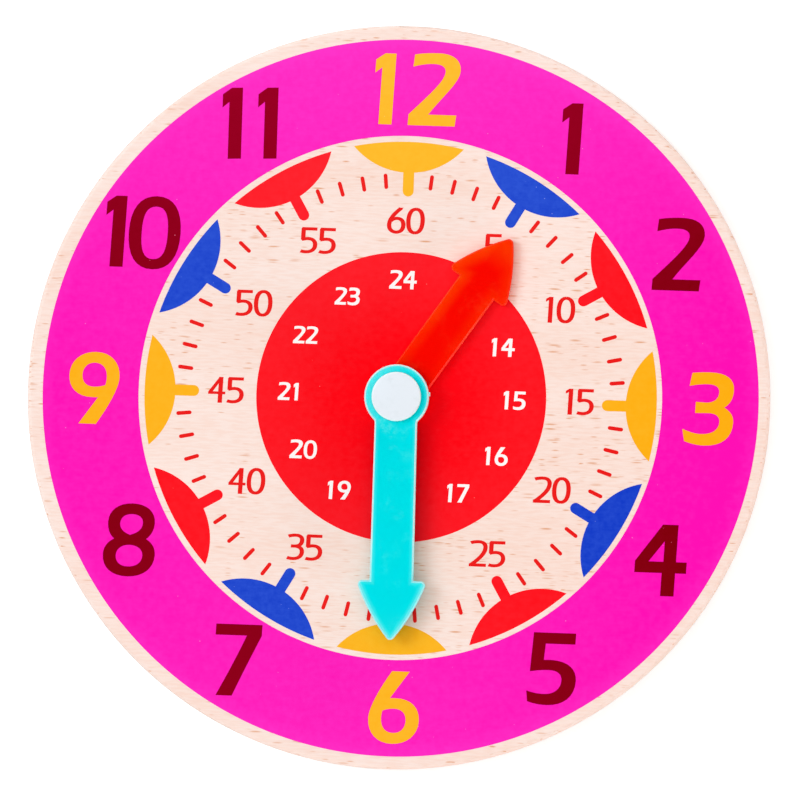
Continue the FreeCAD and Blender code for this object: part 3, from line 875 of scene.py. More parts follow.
@dataclass(frozen=True)
class SatinPlastic(Finish):
    """Opaque moulded plastic with a satin face."""

    colour: Mix = (231, 240, 248)
    # edge is painted on the rounded edges; lighter than the face, it is a painted highlight.
    edge: Mix = (231, 255, 255)
    worn: Mix = (221, 231, 238)
    patch: ClassVar[float] = 3.0
    edge_band: ClassVar[Range] = (0.75, 0.95)
    roughness: ClassVar[float] = 0.38
    unevenness: ClassVar[float] = 0.2
    shine: ClassVar[float] = 0.4
    relief: ClassVar[float] = 0.006

    def paint(self, tree: ShaderTree, shader: bpy.types.Node) -> None:
        """Lays a pale colour with faint rub marks, and the edge colour on the rounded edges, a painted
        highlight where it is lighter.

        Args:
            tree: The finish's tree.
            shader: The shader.
        """
        marks = HandlingMarks().node(tree, Place=tree.place_mm(), Reach=self.patch)
        colour = tree.mixed(marks.outputs["Rub"], screen_colour(self.colour), screen_colour(self.worn))
        # Painted highlight on the rounded edges, where the edge colour is lighter.
        rounded = self.steep(tree, *self.edge_band)
        colour = tree.mixed(rounded, colour, screen_colour(self.edge))
        tree.feed(shader.inputs["Base Color"], colour)
        self.wear(tree, shader, marks.outputs["Shine"], marks.outputs["Height"])


@dataclass(frozen=True)
class FloorPaint(Finish):
    """Matt white that is bright where it is seen, and still takes the clock's shadow."""

    title: str = "White Floor"
    white: Triple = (0.76, 0.8, 0.83)
    brightness: float = 0.45
    roughness: ClassVar[float] = 0.9

    def paint(self, tree: ShaderTree, shader: bpy.types.Node) -> None:
        """Lays the white, and lifts it for the rays that show the surroundings.

        Args:
            tree: The finish's tree.
            shader: The shader.
        """
        values = {
            "Base Color": (*self.white, 1.0),
            "Roughness": self.roughness,
            "Emission Color": (1.0,) * 4,
            "Emission Strength": tree.math("MULTIPLY", tree.seen_rays(), self.brightness),
        }
        tree.feed_named(shader, values)


class Paint(Enum):
    """The inks of the dial."""

    # Each ink gives its full colour, then the paler one that the painted sheen and the mottle mix in.
    MAGENTA = Ink("Magenta Ink", (255, 15, 182), (255, 52, 203), 0.45, (255, 150, 225), 0.18)
    RED = Ink("Red Ink", (255, 8, 22), (255, 47, 58), 0.32, (255, 120, 120), 0.12)
    YELLOW = Ink("Yellow Ink", (255, 176, 18), (255, 196, 56), 0.32, (255, 220, 140), 0.06)
    BLUE = Ink("Blue Ink", (20, 60, 201), (54, 95, 221), 0.5, (150, 170, 240), 0.6)
    MAROON = Ink("Maroon Ink", (127, 0, 11), (158, 0, 40), 0.16, (255, 120, 160), 0.1)
    SCARLET = Ink("Scarlet Ink", (235, 27, 25), (241, 42, 40), 0.4, (255, 150, 130), 0.05)
    WHITE = Ink("White Ink", (254, 251, 249), (255, 255, 255), 0.2, (255, 235, 235), 0.05)


# ---------------------------------------------------------------------------------------------
# Drawn outlines
# ---------------------------------------------------------------------------------------------


class Fill(Enum):
    """How closed loops that lie over each other are filled."""

    HOLES = "a loop inside another is a hole"
    UNION = "whatever any loop covers is filled"


def arc(centre: Place, radius: float, start: float, end: float, steps: int) -> Loop:
    """Points along an arc.

    Args:
        centre: Middle of the arc.
        radius: Its radius.
        start: First angle, in degrees anticlockwise from +X.
        end: Last angle.
        steps: How many straight runs stand for the arc.

    Returns:
        The points, both ends among them.
    """
    angles = (math.radians(start + (end - start) * i / steps) for i in range(steps + 1))
    return [(centre[0] + radius * math.cos(a), centre[1] + radius * math.sin(a)) for a in angles]


def circle(centre: Place, radius: float, steps: int) -> Loop:
    """Points round a circle, each once."""
    return arc(centre, radius, 0, 360, steps)[:-1]


def anticlockwise(loop: Loop) -> Loop:
    """Gives a closed loop's points in anticlockwise order."""
    twice_area = sum(a[0] * b[1] - b[0] * a[1] for a, b in zip(loop, loop[1:] + loop[:1]))
    return loop if twice_area > 0 else loop[::-1]


def trace(path: str, steps: int) -> list[Loop]:
    """Reads a drawn path.

    Args:
        path: M starts a line at a point, L goes straight to a point, H and V go across or up to a
            number, C goes to its third point on a curve that the first two pull at, and Z goes back.
        steps: How many straight runs stand for a curve.

    Returns:
        One list of points for each line that the path starts.
    """
    words = re.findall(r"[MLHVCZ]|-?\d*\.?\d+", path)
    counts = {"M": 2, "L": 2, "H": 1, "V": 1, "C": 6, "Z": 0}
    lines: list[Loop] = []
    order, index = "M", 0
    while index < len(words):
        if words[index] in counts:
            order, index = words[index], index + 1
        numbers = [float(word) for word in words[index : index + counts[order]]]
        index += counts[order]
        if order == "Z":
            lines[-1].append(lines[-1][0])
            continue
        if order == "M":
            lines.append([(numbers[0], numbers[1])])
            order = "L"
            continue
        line = lines[-1]
        last = line[-1]
        if order == "L":
            line.append((numbers[0], numbers[1]))
        elif order == "H":
            line.append((numbers[0], last[1]))
        elif order == "V":
            line.append((last[0], numbers[0]))
        else:
            knots = [Vector(last), *(Vector(numbers[i : i + 2]) for i in (0, 2, 4))]
            for step in range(1, steps + 1):
                t = step / steps
                shares = ((1 - t) ** 3, 3 * t * (1 - t) ** 2, 3 * t**2 * (1 - t), t**3)
                point = sum((knot * share for knot, share in zip(knots, shares)), Vector((0, 0)))
                line.append((point.x, point.y))
    return lines


@dataclass(frozen=True)
class PenNib:
    """A broad pen, wider across than up, as light numerals are drawn with."""

    across: float = 0.89
    up: float = 0.64
    overrun: float = 0.05

    def ribbon(self, line: Loop) -> Loop:
        """Draws along a line.

        Args:
            line: The middle of the stroke. A line that comes back to its start is an outline already.

        Returns:
            The stroke's outline, with its ends cut square a little past the line's own.
        """
        if line[0] == line[-1]:
            return line[:-1]
        left: Loop = []
        right: Loop = []
        for index, (x, y) in enumerate(line):
            before, after = line[max(index - 1, 0)], line[min(index + 1, len(line) - 1)]
            along = Vector((after[0] - before[0], after[1] - before[1])).normalized()
            past = {0: -self.overrun, len(line) - 1: self.overrun}.get(index, 0.0)
            x, y = x + along.x * past, y + along.y * past
            reach = math.hypot(along.y * self.across / 2, along.x * self.up / 2)
            dx = -along.y * (self.across / 2) ** 2 / reach
            dy = along.x * (self.up / 2) ** 2 / reach
            left.append((x + dx, y + dy))
            right.append((x - dx, y - dy))
        return left + right[::-1]


@dataclass(frozen=True)
class Digit:
    """One drawn digit, its width, and the room that it needs before and after it."""

    path: str
    width: float
    before: float = 0.0
    after: float = 0.0


@dataclass(frozen=True)
class Numerals(ABC):
    """Drawn digits of one kind, which all have the same height and lean."""

    height: float
    lean: float
    gap: float
    steps: int
    fill: ClassVar[Fill]
    DIGITS: ClassVar[dict[str, Digit]]

    @abstractmethod
    def outline(self, digit: str) -> list[Loop]:
        """Gives the upright loops of one digit, from its lower left corner."""

    def shape(self, digit: str) -> Digit:
        """Gives a digit's width and the room beside it."""
        return self.DIGITS[digit]

    def set_digit(self, digit: str, corner: Place, scale: float = 1.0, turn: float = 0.0) -> list[Loop]:
        """Puts one digit on the dial.

        Args:
            digit: The digit, as a character.
            corner: Its lower left corner.
            scale: How much larger than drawn it is.
            turn: Degrees anticlockwise about the corner.

        Returns:
            The digit's loops on the dial.
        """
        left, bottom = corner
        cosine, sine = math.cos(math.radians(turn)), math.sin(math.radians(turn))
        placed: list[Loop] = []
        for loop in self.outline(digit):
            leaning = [((x + self.lean * y) * scale, y * scale) for x, y in loop]
            turned = [(x * cosine - y * sine, x * sine + y * cosine) for x, y in leaning]
            placed.append([(left + x, bottom + y) for x, y in turned])
        return placed

    def set_number(self, number: str, centre: Place, height: float) -> list[Loop]:
        """Puts a number on the dial.

        Args:
            number: The number, as characters.
            centre: Its middle.
            height: Its height.

        Returns:
            The number's loops on the dial.
        """
        scale = height / self.height
        shapes = [self.shape(digit) for digit in number]
        starts, reach = [], 0.0
        for index, shape in enumerate(shapes):
            if index:
                reach += shapes[index - 1].after + self.gap + shape.before
            starts.append(reach)
            reach += shape.width
        left = centre[0] - (reach + self.lean * self.height) * scale / 2
        bottom = centre[1] - height / 2
        return [
            loop
            for digit, start in zip(number, starts)
            for loop in self.set_digit(digit, (left + start * scale, bottom), scale)
        ]


@dataclass(frozen=True)
class BoldDigits(Numerals):
    """Heavy numerals that lean a little to the right, drawn as outlines."""

    height: float = 14.4
    lean: float = 0.036
    gap: float = 0.9
    steps: int = 8
    fill: ClassVar[Fill] = Fill.HOLES
    SIX_AND_NINE: ClassVar[float] = 10.35

    DIGITS: ClassVar[dict[str, Digit]] = {
        "0": Digit(
            "M5.25-.3C8.7-.3 10.5 2.4 10.5 7.1C10.5 11.8 8.7 14.5 5.25 14.5C1.8 14.5 0 11.8 0 7.1"
            "C0 2.4 1.8-.3 5.25-.3Z"
            "M5.25 1.75C3.3 1.75 2.6 3.5 2.6 7.1C2.6 10.7 3.3 12.4 5.25 12.4C7.2 12.4 7.9 10.7 7.9 7.1"
            "C7.9 3.5 7.2 1.75 5.25 1.75Z",
            10.5,
        ),
        "1": Digit("M.05 0H2.72V14.35H.5L-1.3 13.05V10.4L.05 11.5Z", 2.8, 3.0, 2.8),
        "2": Digit(
            "M0 0H9.5L9.67 2.25H4.02C6.1 5.4 9.94 8.9 9.94 11.2C9.94 13.5 8.2 14.7 5.2 14.7"
            "C3.5 14.7 1.9 14.6.49 14.3L.32 11.85C1.6 12.2 2.9 12.5 4.25 12.5C5.9 12.5 6.9 12.1 6.9 10.95"
            "C6.9 9.3 4.6 6.9.02 2.2Z",
            9.9,
        ),
        "3": Digit(
            "M.43.45L-.11 2.95C1.3 2.4 2.5 2 3.8 2C6.1 2 7.4 3 7.4 4.6C7.4 5.8 6.5 6.35 5 6.35L2.28 6.3V8.6"
            "L4.3 8.5C6.1 8.5 6.95 9.4 6.95 10.7C6.95 11.8 6.1 12.3 4.6 12.3C3.3 12.3 2 12.1.77 11.83"
            "L1.18 14.53C2.4 14.7 3.6 14.75 4.9 14.75C8.1 14.75 9.95 13.6 9.95 11.2C9.95 9.5 9.3 8.3 8.2 7.6"
            "C9.6 6.8 10.25 5.9 10.25 4.5C10.25 1.5 8.3-.35 4.6-.35C3.1-.35 1.6 0 .43.45Z",
            10.2,
        ),
        "4": Digit(
            "M5.62 0H8.32V4.65H10.5V6.9H8.34V14.38H5.23L.1 6.95V4.65H5.62ZM5.8 6.9H2.8L5.8 11.05Z",
            10.5,
        ),
        "5": Digit(
            "M.29.45L0 2.6C1.2 2.2 2.3 2 3.6 2C5.6 2 6.9 3.1 6.9 4.8C6.9 6.2 5.9 6.85 4.2 6.85"
            "C2.9 6.85 1.7 6.7.43 6.48L.71 14.35H9.2V12.15H3.25L3.07 8.85C3.7 8.88 4.3 8.9 4.9 8.87"
            "C7.9 8.7 9.8 7.3 9.8 4.8C9.8 1.6 7.6-.2 4.3-.2C2.9-.2 1.5 0 .29.45Z",
            9.8,
        ),
        "6": Digit(
            "M4.14 14.42H7.73L4.1 8.95H5.3C8.4 8.95 10.3 7.2 10.3 4.4C10.3 1.6 8.2-.35 5.1-.35"
            "C2-.35-.05 1.7-.05 4.8C-.05 7 1.9 10.9 4.14 14.42Z"
            "M2.75 6.35C3.4 6.65 4.3 6.8 5.1 6.8C6.65 6.8 7.6 5.9 7.6 4.35C7.6 2.85 6.65 1.87 5.2 1.87"
            "C3.55 1.87 2.58 3 2.58 4.9C2.58 5.45 2.64 5.9 2.75 6.35Z",
            10.3,
        ),
        "7": Digit("M.85 0H4.12C5.5 3.4 7.4 7.9 9.33 12.2V14.41H0V12.2H6.33C4.9 8.6 3 4.4.85 0Z", 9.3),
        "8": Digit(
            "M5.2-.25C8.4-.25 10.5 1.5 10.5 4.2C10.5 5.6 9.8 6.7 8.5 7.4C9.5 8.2 10.05 9.3 10.05 10.7"
            "C10.05 13 8.2 14.5 5.3 14.5C2.5 14.5.6 13 .6 10.7C.6 9.2 1.1 8 2.05 7.3C.7 6.6 0 5.5 0 4.1"
            "C0 1.4 2-.25 5.2-.25Z"
            "M5.2 8.15C3.8 8.6 3.05 9.4 3.05 10.4C3.05 11.6 3.9 12.35 5.35 12.35"
            "C6.8 12.35 7.65 11.7 7.65 10.6C7.65 9.4 6.8 8.6 5.2 8.15Z"
            "M5.15 6.15C3.4 6.05 2.6 5.1 2.6 3.95C2.6 2.6 3.6 1.75 5.2 1.75C6.9 1.75 8 2.65 8 4.05"
            "C8 5.2 7 6.1 5.15 6.15Z",
            10.5,
        ),
    }

    def outline(self, digit: str) -> list[Loop]:
        """Gives the upright loops of one digit, from its lower left corner.

        Args:
            digit: The digit, as a character. A nine is the six turned half round.

        Returns:
            Its loops, the outer one first.
        """
        if digit != "9":
            return [loop[:-1] for loop in trace(self.DIGITS[digit].path, self.steps)]
        six = self.outline("6")
        return [[(self.SIX_AND_NINE - x, self.height - y) for x, y in loop] for loop in six]

    def shape(self, digit: str) -> Digit:
        """Gives a digit's width and the room beside it."""
        return self.DIGITS["6" if digit == "9" else digit]


@dataclass(frozen=True)
class ThinDigits(Numerals):
    """Light numerals drawn with a broad pen."""

    height: float = 5.2
    lean: float = 0.03
    gap: float = 0.22
    steps: int = 6
    nib: PenNib = PenNib()
    fill: ClassVar[Fill] = Fill.UNION

    DIGITS: ClassVar[dict[str, Digit]] = {
        "0": Digit(
            "M1.8.22C2.8.22 3.25 1.2 3.25 2.6C3.25 4 2.8 4.98 1.8 4.98M1.8 4.98C.8 4.98.38 4.0.38 2.6"
            "C.38 1.2.8.22 1.8.22",
            3.65,
        ),
        "1": Digit("M.95 0V5.1M.6 5.15L-.08 4.71V4.13L.5 4.47Z", 1.4, 0.0, 0.6),
        "2": Digit(
            "M.05 4.72C.6 4.9 1.1 4.95 1.6 4.95C2.55 4.95 3 4.5 3 3.8C3 2.7 2 1.6.2.25M-.1.27H3.25", 3.4
        ),
        "3": Digit(
            "M.25 4.72C.8 4.88 1.25 4.95 1.65 4.95C2.6 4.95 3 4.55 3 3.95C3 3.2 2.5 2.75 1.6 2.75H.85"
            "M1.5 2.75C2.6 2.75 3.1 2.3 3.1 1.6C3.1.75 2.4.24 1.4.24C1 .24.6.29.2.4",
            3.5,
        ),
        "4": Digit("M2.4 0V5.1M-.05 1.68H3.4V2.22H-.05ZM-.05 2.15L2.05 5.12H2.8L.8 2.1Z", 3.45),
        "5": Digit(
            "M3.25 4.88H.3M.55 4.95V2.7M.3 2.72C.8 2.85 1.2 2.92 1.6 2.92C2.55 2.92 3.04 2.4 3.04 1.65"
            "C3.04.75 2.3.24 1.3.24C.95.24.6.28.22.38",
            3.5,
        ),
        "6": Digit(
            "M2.55 5.05C1.25 3.95.38 2.9.38 1.75C.38.8.95.24 1.85.24"
            "M1.85.24C2.75.24 3.25.8 3.25 1.65C3.25 2.5 2.75 3.02 1.95 3.02C1.4 3.02 1 2.85.7 2.5"
            "M2.05 5.2H3.1L2.4 4.55L1.9 4.85Z",
            3.6,
        ),
    }

    def outline(self, digit: str) -> list[Loop]:
        """Gives the upright strokes of one digit, from its lower left corner."""
        return [self.nib.ribbon(line) for line in trace(self.DIGITS[digit].path, self.steps)]


@dataclass(frozen=True)
class PrintLayer:
    """One pass of the screen press: a film of ink between two heights above the board's back."""

    low: float
    high: float
    # What the triangulation makes, by Blender's number for it, and how near two points are one.
    triangles_only: ClassVar[int] = 0
    same_point: ClassVar[float] = 1e-5

    def lay(self, name: str, loops: Sequence[Loop], fill: Fill, paint: Paint) -> None:
        """Prints closed loops as one thin solid that rides on the board.

        Args:
            name: Name of the piece.
            loops: The loops on the dial.
            fill: How loops that lie over each other are filled.
            paint: The ink.
        """
        corners: list[Vector] = []
        faces: list[list[int]] = []
        for loop in loops:
            faces.append(list(range(len(corners), len(corners) + len(loop))))
            corners.extend(Vector(place) for place in anticlockwise(loop))
        points, _, triangles, _, _, owners = delaunay_2d_cdt(
            corners, [], faces, self.triangles_only, self.same_point, True
        )
        kept = [
            list(triangle)
            for triangle, owner in zip(triangles, owners)
            if (len(owner) % 2 if fill is Fill.HOLES else owner)
        ]
        sides = Counter((a, b) for t in kept for a, b in zip(t, t[1:] + t[:1]))
        rims = [(a, b) for a, b in sides if (b, a) not in sides]
        used = sorted({corner for triangle in kept for corner in triangle})
        order = {corner: index for index, corner in enumerate(used)}
        count = len(used)
        heights = (self.low, self.high)
        vertices = [(points[i].x * MM, points[i].y * MM, height * MM) for height in heights for i in used]
        top = [[order[i] + count for i in triangle] for triangle in kept]
        bottom = [[order[i] for i in reversed(triangle)] for triangle in kept]
        walls = [[order[a], order[b], order[b] + count, order[a] + count] for a, b in rims]
        mesh = bpy.data.meshes.new(name)
        mesh.from_pydata(vertices, [], bottom + top + walls)
        mesh.materials.append(paint.value.material())
        piece = put_in_scene(name, mesh)
        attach(piece, BOARD)
        log.info("printed %s: %d faces", name, len(mesh.polygons))


# ---------------------------------------------------------------------------------------------
# Sub-assemblies
# ---------------------------------------------------------------------------------------------


def dress(node: str, finish: Finish) -> None:
    """Gives a solid of the clock its finish.

    Args:
        node: Name of the solid.
        finish: The finish that goes on it.
    """
    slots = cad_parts[node].data.materials
    slots.clear()
    slots.append(finish.material())
    log.info("dressed %s in %s", node, finish.title)


@dataclass(frozen=True)
class DialPrint:
    """Everything that is printed on the board, in two passes of ink.

    The artwork's middle lies a little to the right of the axle, as the press put it down.
    """

    middle: Place = (0.5, -0.14)
    ring_middle: Place = (0.42, -0.09)
    ring_outer: float = 72.29
    ring_inner: float = 52.85
    disc_middle: Place = (0.67, 0.02)
    disc_radius: float = 29.27
    disc_hole: float = 5.75
    marker_turn: float = -0.1
    marker_outer: float = 51.72
    marker_half_angle: float = 12.38
    marker_dome: float = 45.47
    stem_offset: float = 0.14
    stem_width: float = 2.2
    stem_end: float = 40.68
    stem_root: float = 1.0
    tick_turn: float = 0.12
    tick_width: float = 0.77
    tick_outer: float = 45.39
    tick_inner: float = 42.27
    minute_height: float = 5.22
    day_height: float = 3.7
    # How many straight runs stand for each curve.
    ring_steps: int = 240
    disc_steps: int = 144
    hole_steps: int = 48
    rim_steps: int = 14
    dome_steps: int = 28
    stem_steps: int = 10
    tick_steps: int = 6
    first: PrintLayer = PrintLayer(4.99, 5.015)
    second: PrintLayer = PrintLayer(5.01, 5.03)

    # Lower left corner of each digit of the hour numerals, measured from the axle.
    HOURS: ClassVar[dict[int, tuple[tuple[str, float, float], ...]]] = {
        1: (("1", 32.08, 46.11),),
        2: (("2", 50.34, 23.4),),
        3: (("3", 57.52, -7.22),),
        4: (("4", 48.63, -38.12),),
        5: (("5", 27.96, -60.65),),
        6: (("6", -3.73, -69.46),),
        7: (("7", -35.45, -61.3),),
        8: (("8", -58.58, -37.8),),
        9: (("9", -66.97, -7.5),),
        10: (("1", -59.35, 24.39), ("0", -55.87, 24.39)),
        11: (("1", -36.2, 46.94), ("1", -29.0, 47.19)),
        12: (("1", -6.01, 54.96), ("2", -0.03, 54.96)),
    }
    ELEVEN_TURN: ClassVar[float] = 2.4
    # Numbers that came out of the press a little smaller, and their share of the full size.
    SMALLER: ClassVar[dict[int, float]] = {3: 0.978, 6: 0.99, 9: 0.985, 21: 0.955, 22: 0.93, 23: 0.93}
    MINUTES: ClassVar[dict[int, Place]] = {
        60: (0.37, 35.64),
        5: (18.15, 30.97),
        10: (32.15, 18.74),
        15: (36.74, 0.37),
        20: (31.85, -17.6),
        25: (19.33, -30.87),
        30: (0.35, -35.1),
        35: (-17.67, -30.87),
        40: (-29.83, -17.94),
        45: (-34.68, 0.29),
        50: (-29.74, 17.99),
        55: (-17.22, 31.06),
    }
    DAY_HOURS: ClassVar[dict[int, Place]] = {
        13: (13.0, 19.2),
        14: (21.05, 10.76),
        15: (23.75, 0.17),
        16: (20.5, -11.18),
        17: (12.98, -18.91),
        18: (0.8, -22.0),
        19: (-11.0, -19.13),
        20: (-18.65, -11.15),
        21: (-22.15, 0.42),
        22: (-19.05, 11.9),
        23: (-10.9, 20.0),
        24: (0.25, 23.7),
    }

    def build(self) -> None:
        """Prints the colour fields first, then what lies on them."""
        self.print_fields()
        self.print_markers()
        self.print_ticks()
        self.print_hours()
        thin, small_bold = ThinDigits(), BoldDigits(steps=4)
        for number, centre in self.MINUTES.items():
            loops = thin.set_number(str(number), centre, self.minute_height * self.share(number))
            self.first.lay(f"minute_numeral_{number}", loops, thin.fill, Paint.SCARLET)
        for number, centre in self.DAY_HOURS.items():
            loops = small_bold.set_number(str(number), centre, self.day_height * self.share(number))
            self.second.lay(f"day_hour_numeral_{number}", loops, small_bold.fill, Paint.WHITE)

    def print_fields(self) -> None:
        """Prints the broad magenta ring and the red disc."""
        radii = (self.ring_outer, self.ring_inner)
        ring = [circle(self.ring_middle, radius, self.ring_steps) for radius in radii]
        self.first.lay("magenta_ring", ring, Fill.HOLES, Paint.MAGENTA)
        disc = [
            circle(self.disc_middle, self.disc_radius, self.disc_steps),
            circle((0, 0), self.disc_hole, self.hole_steps),
        ]
        self.first.lay("red_disc", disc, Fill.HOLES, Paint.RED)

    def share(self, number: int) -> float:
        """Gives the share of the full size that a number is printed at."""
        return self.SMALLER.get(number, 1.0)

    def turned(self, loop: Iterable[Place], clockwise: float) -> Loop:
        """Turns a loop that is drawn at the twelve to another place of the dial.

        Args:
            loop: Points about the artwork's middle.
            clockwise: Degrees from the twelve.

        Returns:
            The loop on the dial.
        """
        right, up = self.middle
        cosine, sine = math.cos(math.radians(clockwise)), math.sin(math.radians(clockwise))
        return [(right + x * cosine + y * sine, up - x * sine + y * cosine) for x, y in loop]

    def marker_loops(self) -> list[Loop]:
        """Draws an hour marker: a dome that hangs from the ring, and a round-ended stem.

        Returns:
            The loops of both, drawn at the twelve.
        """
        half = math.radians(self.marker_half_angle)
        tip = Vector((self.marker_outer * math.sin(half), self.marker_outer * math.cos(half)))
        drop = tip.y - self.marker_dome
        radius = (tip.x**2 + drop**2) / (2 * drop)
        dome_angle = math.degrees(math.asin(tip.x / radius))
        centre = (0.0, self.marker_dome + radius)
        angle = self.marker_half_angle
        rim = arc((0, 0), self.marker_outer, 90 + angle, 90 - angle, self.rim_steps)
        dome = arc(centre, radius, 270 + dome_angle, 270 - dome_angle, self.dome_steps)
        half_stem = self.stem_width / 2
        end = arc((self.stem_offset, self.stem_end + half_stem), half_stem, 0, -180, self.stem_steps)
        root = self.marker_dome + self.stem_root
        stem = [(end[0][0], root), *end, (end[-1][0], root)]
        return [rim + dome[1:-1], stem]

    def print_markers(self) -> None:
        """Prints the twelve hour markers, whose three colours take turns."""
        paints = (Paint.YELLOW, Paint.BLUE, Paint.RED)
        for hour in range(1, 13):
            turn = hour * HOUR_ANGLE + self.marker_turn
            loops = [self.turned(loop, turn) for loop in self.marker_loops()]
            self.first.lay(f"hour_marker_{hour}", loops, Fill.UNION, paints[hour % 3])

    def print_ticks(self) -> None:
        """Prints the round-ended minute strokes between the markers."""
        half = self.tick_width / 2
        top = arc((0, self.tick_outer - half), half, 0, 180, self.tick_steps)
        bottom = arc((0, self.tick_inner + half), half, 180, 360, self.tick_steps)
        for hour in range(12):
            minutes = range(hour * 5 + 1, hour * 5 + 5)
            turns = (minute * MINUTE_ANGLE + self.tick_turn for minute in minutes)
            loops = [self.turned(top + bottom, turn) for turn in turns]
            name = f"minute_strokes_{minutes[0]}_to_{minutes[-1]}"
            self.first.lay(name, loops, Fill.UNION, Paint.SCARLET)

    def print_hours(self) -> None:
        """Prints the bold hour numerals on the ring. Every third one is yellow."""
        bold = BoldDigits()
        for hour, placed in self.HOURS.items():
            turn = self.ELEVEN_TURN if hour == 11 else 0.0
            loops: list[Loop] = []
            for digit, left, bottom in placed:
                loops += bold.set_digit(digit, (left, bottom), self.share(hour), turn)
            paint = Paint.YELLOW if hour % 3 == 0 else Paint.MAROON
            self.second.lay(f"hour_numeral_{hour}", loops, bold.fill, paint)

@dataclass(frozen=True)
class DialBoard:
    """The plywood disc and what is printed on it."""

    finish: BeechPly = BeechPly()
    artwork: DialPrint = DialPrint()

    def build(self) -> None:
        """Dresses the board and prints the dial."""
        dress("dial_board", self.finish)
        self.artwork.build()


@dataclass(frozen=True)
class Hands:
    """The two arrow-shaped hands, each of tinted plastic."""

    # In each hand, glow is a painted glow and rim a painted highlight.
    hour: TintedPlastic = TintedPlastic(
        "Orange Red Plastic",
        heart=(255, 8, 0),
        glow=(255, 66, 0),
        rim=(255, 64, 26),
        rim_fade=0.6,
        scuff=(255, 120, 70),
        clockwise=34.0,
        root_width=8.5,
        head_base=27.2,
        glow_loss=0.65,
        wander=(1.2, 0.4, 0.2),
        scuff_share=0.06,
    )
    minute: TintedPlastic = TintedPlastic(
        "Light Blue Plastic",
        heart=(0, 226, 234),
        glow=(80, 233, 239),
        glow_depth=1.2,
        tip_glow=0.12,
        rim=(200, 247, 251),
        rim_fade=0.4,
        # Painted highlight on one side of the minute hand's hub ring.
        ring_wear=0.4,
        scuff=(120, 240, 240),
        clockwise=179.5,
        root_width=8.7,
        head_base=37.0,
        wander=(0.4, 1.6, 1.8),
        scuff_share=0.1,
        cap_scuff_share=0.3,
    )

    def build(self) -> None:
        """Dresses both hands."""
        dress("hour_hand", self.hour)
        dress("minute_hand", self.minute)


@dataclass(frozen=True)
class Rivet:
    """The snap rivet and the two thin washers on it."""

    plastic: SatinPlastic = SatinPlastic("Satin White Plastic")
    # The film's edge colour paints its rounded edges darker than its face.
    film: SatinPlastic = SatinPlastic("Milky Film", colour=(226, 230, 230), edge=(212, 216, 216))

    def build(self) -> None:
        """Dresses both halves of the rivet, and the washers."""
        for node in ("rivet_pin", "rivet_socket"):
            dress(node, self.plastic)
        for node in ("lower_washer", "upper_washer"):
            dress(node, self.film)


# ---------------------------------------------------------------------------------------------
# Studio
# ---------------------------------------------------------------------------------------------


@dataclass(frozen=True)
class SoftLamp:
    """A flat soft lamp that faces the clock. Its power is in watts."""

    title: str
    place: Triple
    size: tuple[float, float]
    power: float
    colour: Triple

    def build(self) -> None:
        """Hangs the lamp."""
        lamp = bpy.data.lights.new(self.title, "AREA")
        lamp.shape = "RECTANGLE"
        lamp.size, lamp.size_y = (length * MM for length in self.size)
        lamp.energy = self.power
        lamp.color = self.colour
        hung = put_in_scene(self.title, lamp)
        hung.location = Vector(self.place) * MM
        hung.rotation_euler = hung.location.to_track_quat("Z", "Y").to_euler()


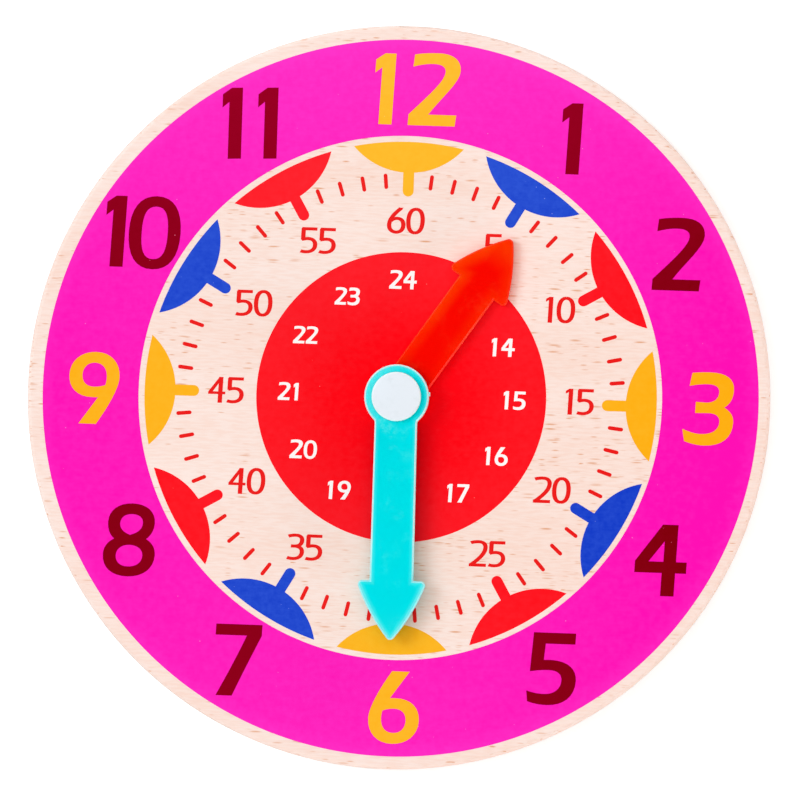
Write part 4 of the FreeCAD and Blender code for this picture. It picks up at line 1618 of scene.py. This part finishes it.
@dataclass(frozen=True)
class Studio:
    """White floor, a soft lamp far to the left, low ones for the far edges, and a long lens above.

    The rest of the light is a warm fill from all round. It is strongest overhead and on the left.
    """

    board_diameter: float = 150.0
    board_pixels: float = 743.2
    frame_pixels: float = 800.0
    board_seen_at: Place = (398.5, 397.6)
    lens: float = 400.0
    sensor: float = 36.0
    tilt_right: float = 3.4
    tilt_down: float = 1.5
    roll: float = 2.1
    target_height: float = 2.5
    farthest: float = 20000.0
    floor_paint: FloorPaint = FloorPaint()
    floor_size: float = 6000.0
    floor_gap: float = 0.05
    lamps: tuple[SoftLamp, ...] = (
        SoftLamp("key_lamp", (-1900.0, 620.0, 2200.0), (1280.0, 1280.0), 29.0, (0.62, 0.86, 1.0)),
        SoftLamp("right_edge_lamp", (1150.0, -1070.0, 190.0), (900.0, 360.0), 9.5, (1.0, 0.99, 0.98)),
        SoftLamp("back_edge_lamp", (800.0, 1350.0, 190.0), (900.0, 360.0), 6.5, (1.0, 0.99, 0.98)),
    )
    overhead: float = 1.095
    around: float = 0.37
    overhead_band: Range = (0.3, 0.95)
    leftward: float = 0.6
    fill_colour: Triple = (1.0, 0.905, 0.856)

    def build(self) -> None:
        """Sets up the floor, lamps, world, view settings and camera."""
        self.lay_floor()
        for lamp in self.lamps:
            lamp.build()
        self.set_world()
        self.place_camera()
        bpy.context.scene.view_settings.view_transform = "Standard"

    def lay_floor(self) -> None:
        """Lays the floor just under the board."""
        half = self.floor_size / 2 * MM
        mesh = bpy.data.meshes.new("floor")
        corners = [(-half, -half, 0), (half, -half, 0), (half, half, 0), (-half, half, 0)]
        mesh.from_pydata(corners, [], [(0, 1, 2, 3)])
        mesh.materials.append(self.floor_paint.material())
        floor = put_in_scene("floor", mesh)
        floor.location.z = -self.floor_gap * MM

    def set_world(self) -> None:
        """Gives the fill, and a white background for the rays that show the surroundings."""
        world = bpy.data.worlds.new("Studio")
        tree = ShaderTree.fresh(world)
        across, _, up = tree.split(tree.add("ShaderNodeTexCoord").outputs["Generated"])
        rise = tree.eased(up, *self.overhead_band)
        upward = tree.math("MULTIPLY_ADD", rise, self.overhead - self.around, self.around)
        leaning = tree.rest_of(tree.math("MULTIPLY", across, self.leftward))
        fill = tree.math("MULTIPLY", upward, leaning)
        seen = tree.seen_rays()
        background = tree.add("ShaderNodeBackground")
        values = {
            "Strength": tree.math("MULTIPLY_ADD", seen, tree.rest_of(fill), fill),
            "Color": tree.mixed(seen, (*self.fill_colour, 1.0), (1.0,) * 4),
        }
        tree.feed_named(background, values)
        output = tree.add("ShaderNodeOutputWorld")
        tree.feed(output.inputs["Surface"], background.outputs[0])
        bpy.context.scene.world = world

    def place_camera(self) -> None:
        """Looks down at the dial, a little from its lower right, with the dial turned clockwise."""
        camera = bpy.data.cameras.new("camera")
        camera.lens = self.lens
        camera.sensor_width = self.sensor
        camera.clip_end = self.farthest * MM
        pixel = self.board_diameter / self.board_pixels
        distance = self.frame_pixels * pixel * self.lens / self.sensor
        tilt_right, tilt_down, roll = map(math.radians, (self.tilt_right, self.tilt_down, self.roll))
        back = Vector((math.tan(tilt_right), -math.tan(tilt_down), 1.0)).normalized()
        right = Vector((-math.sin(roll), math.cos(roll), 0.0)).cross(back).normalized()
        up = back.cross(right)
        shift_right = (self.frame_pixels / 2 - self.board_seen_at[0]) * pixel
        shift_up = (self.board_seen_at[1] - self.frame_pixels / 2) * pixel
        target = Vector((0.0, 0.0, self.target_height)) + right * shift_right + up * shift_up
        matrix = Matrix((right, up, back)).transposed().to_4x4()
        matrix.translation = (target + back * distance) * MM
        placed = put_in_scene("camera", camera)
        placed.matrix_world = matrix
        bpy.context.scene.camera = placed


def main() -> None:
    """Builds the dial board, the hands, the rivet and the studio."""
    logging.basicConfig(level=logging.INFO, format="%(name)s: %(message)s")
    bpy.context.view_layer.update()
    for part in (DialBoard(), Hands(), Rivet(), Studio()):
        part.build()
        log.info("built %s", type(part).__name__)


if __name__ == "__main__":
    main()
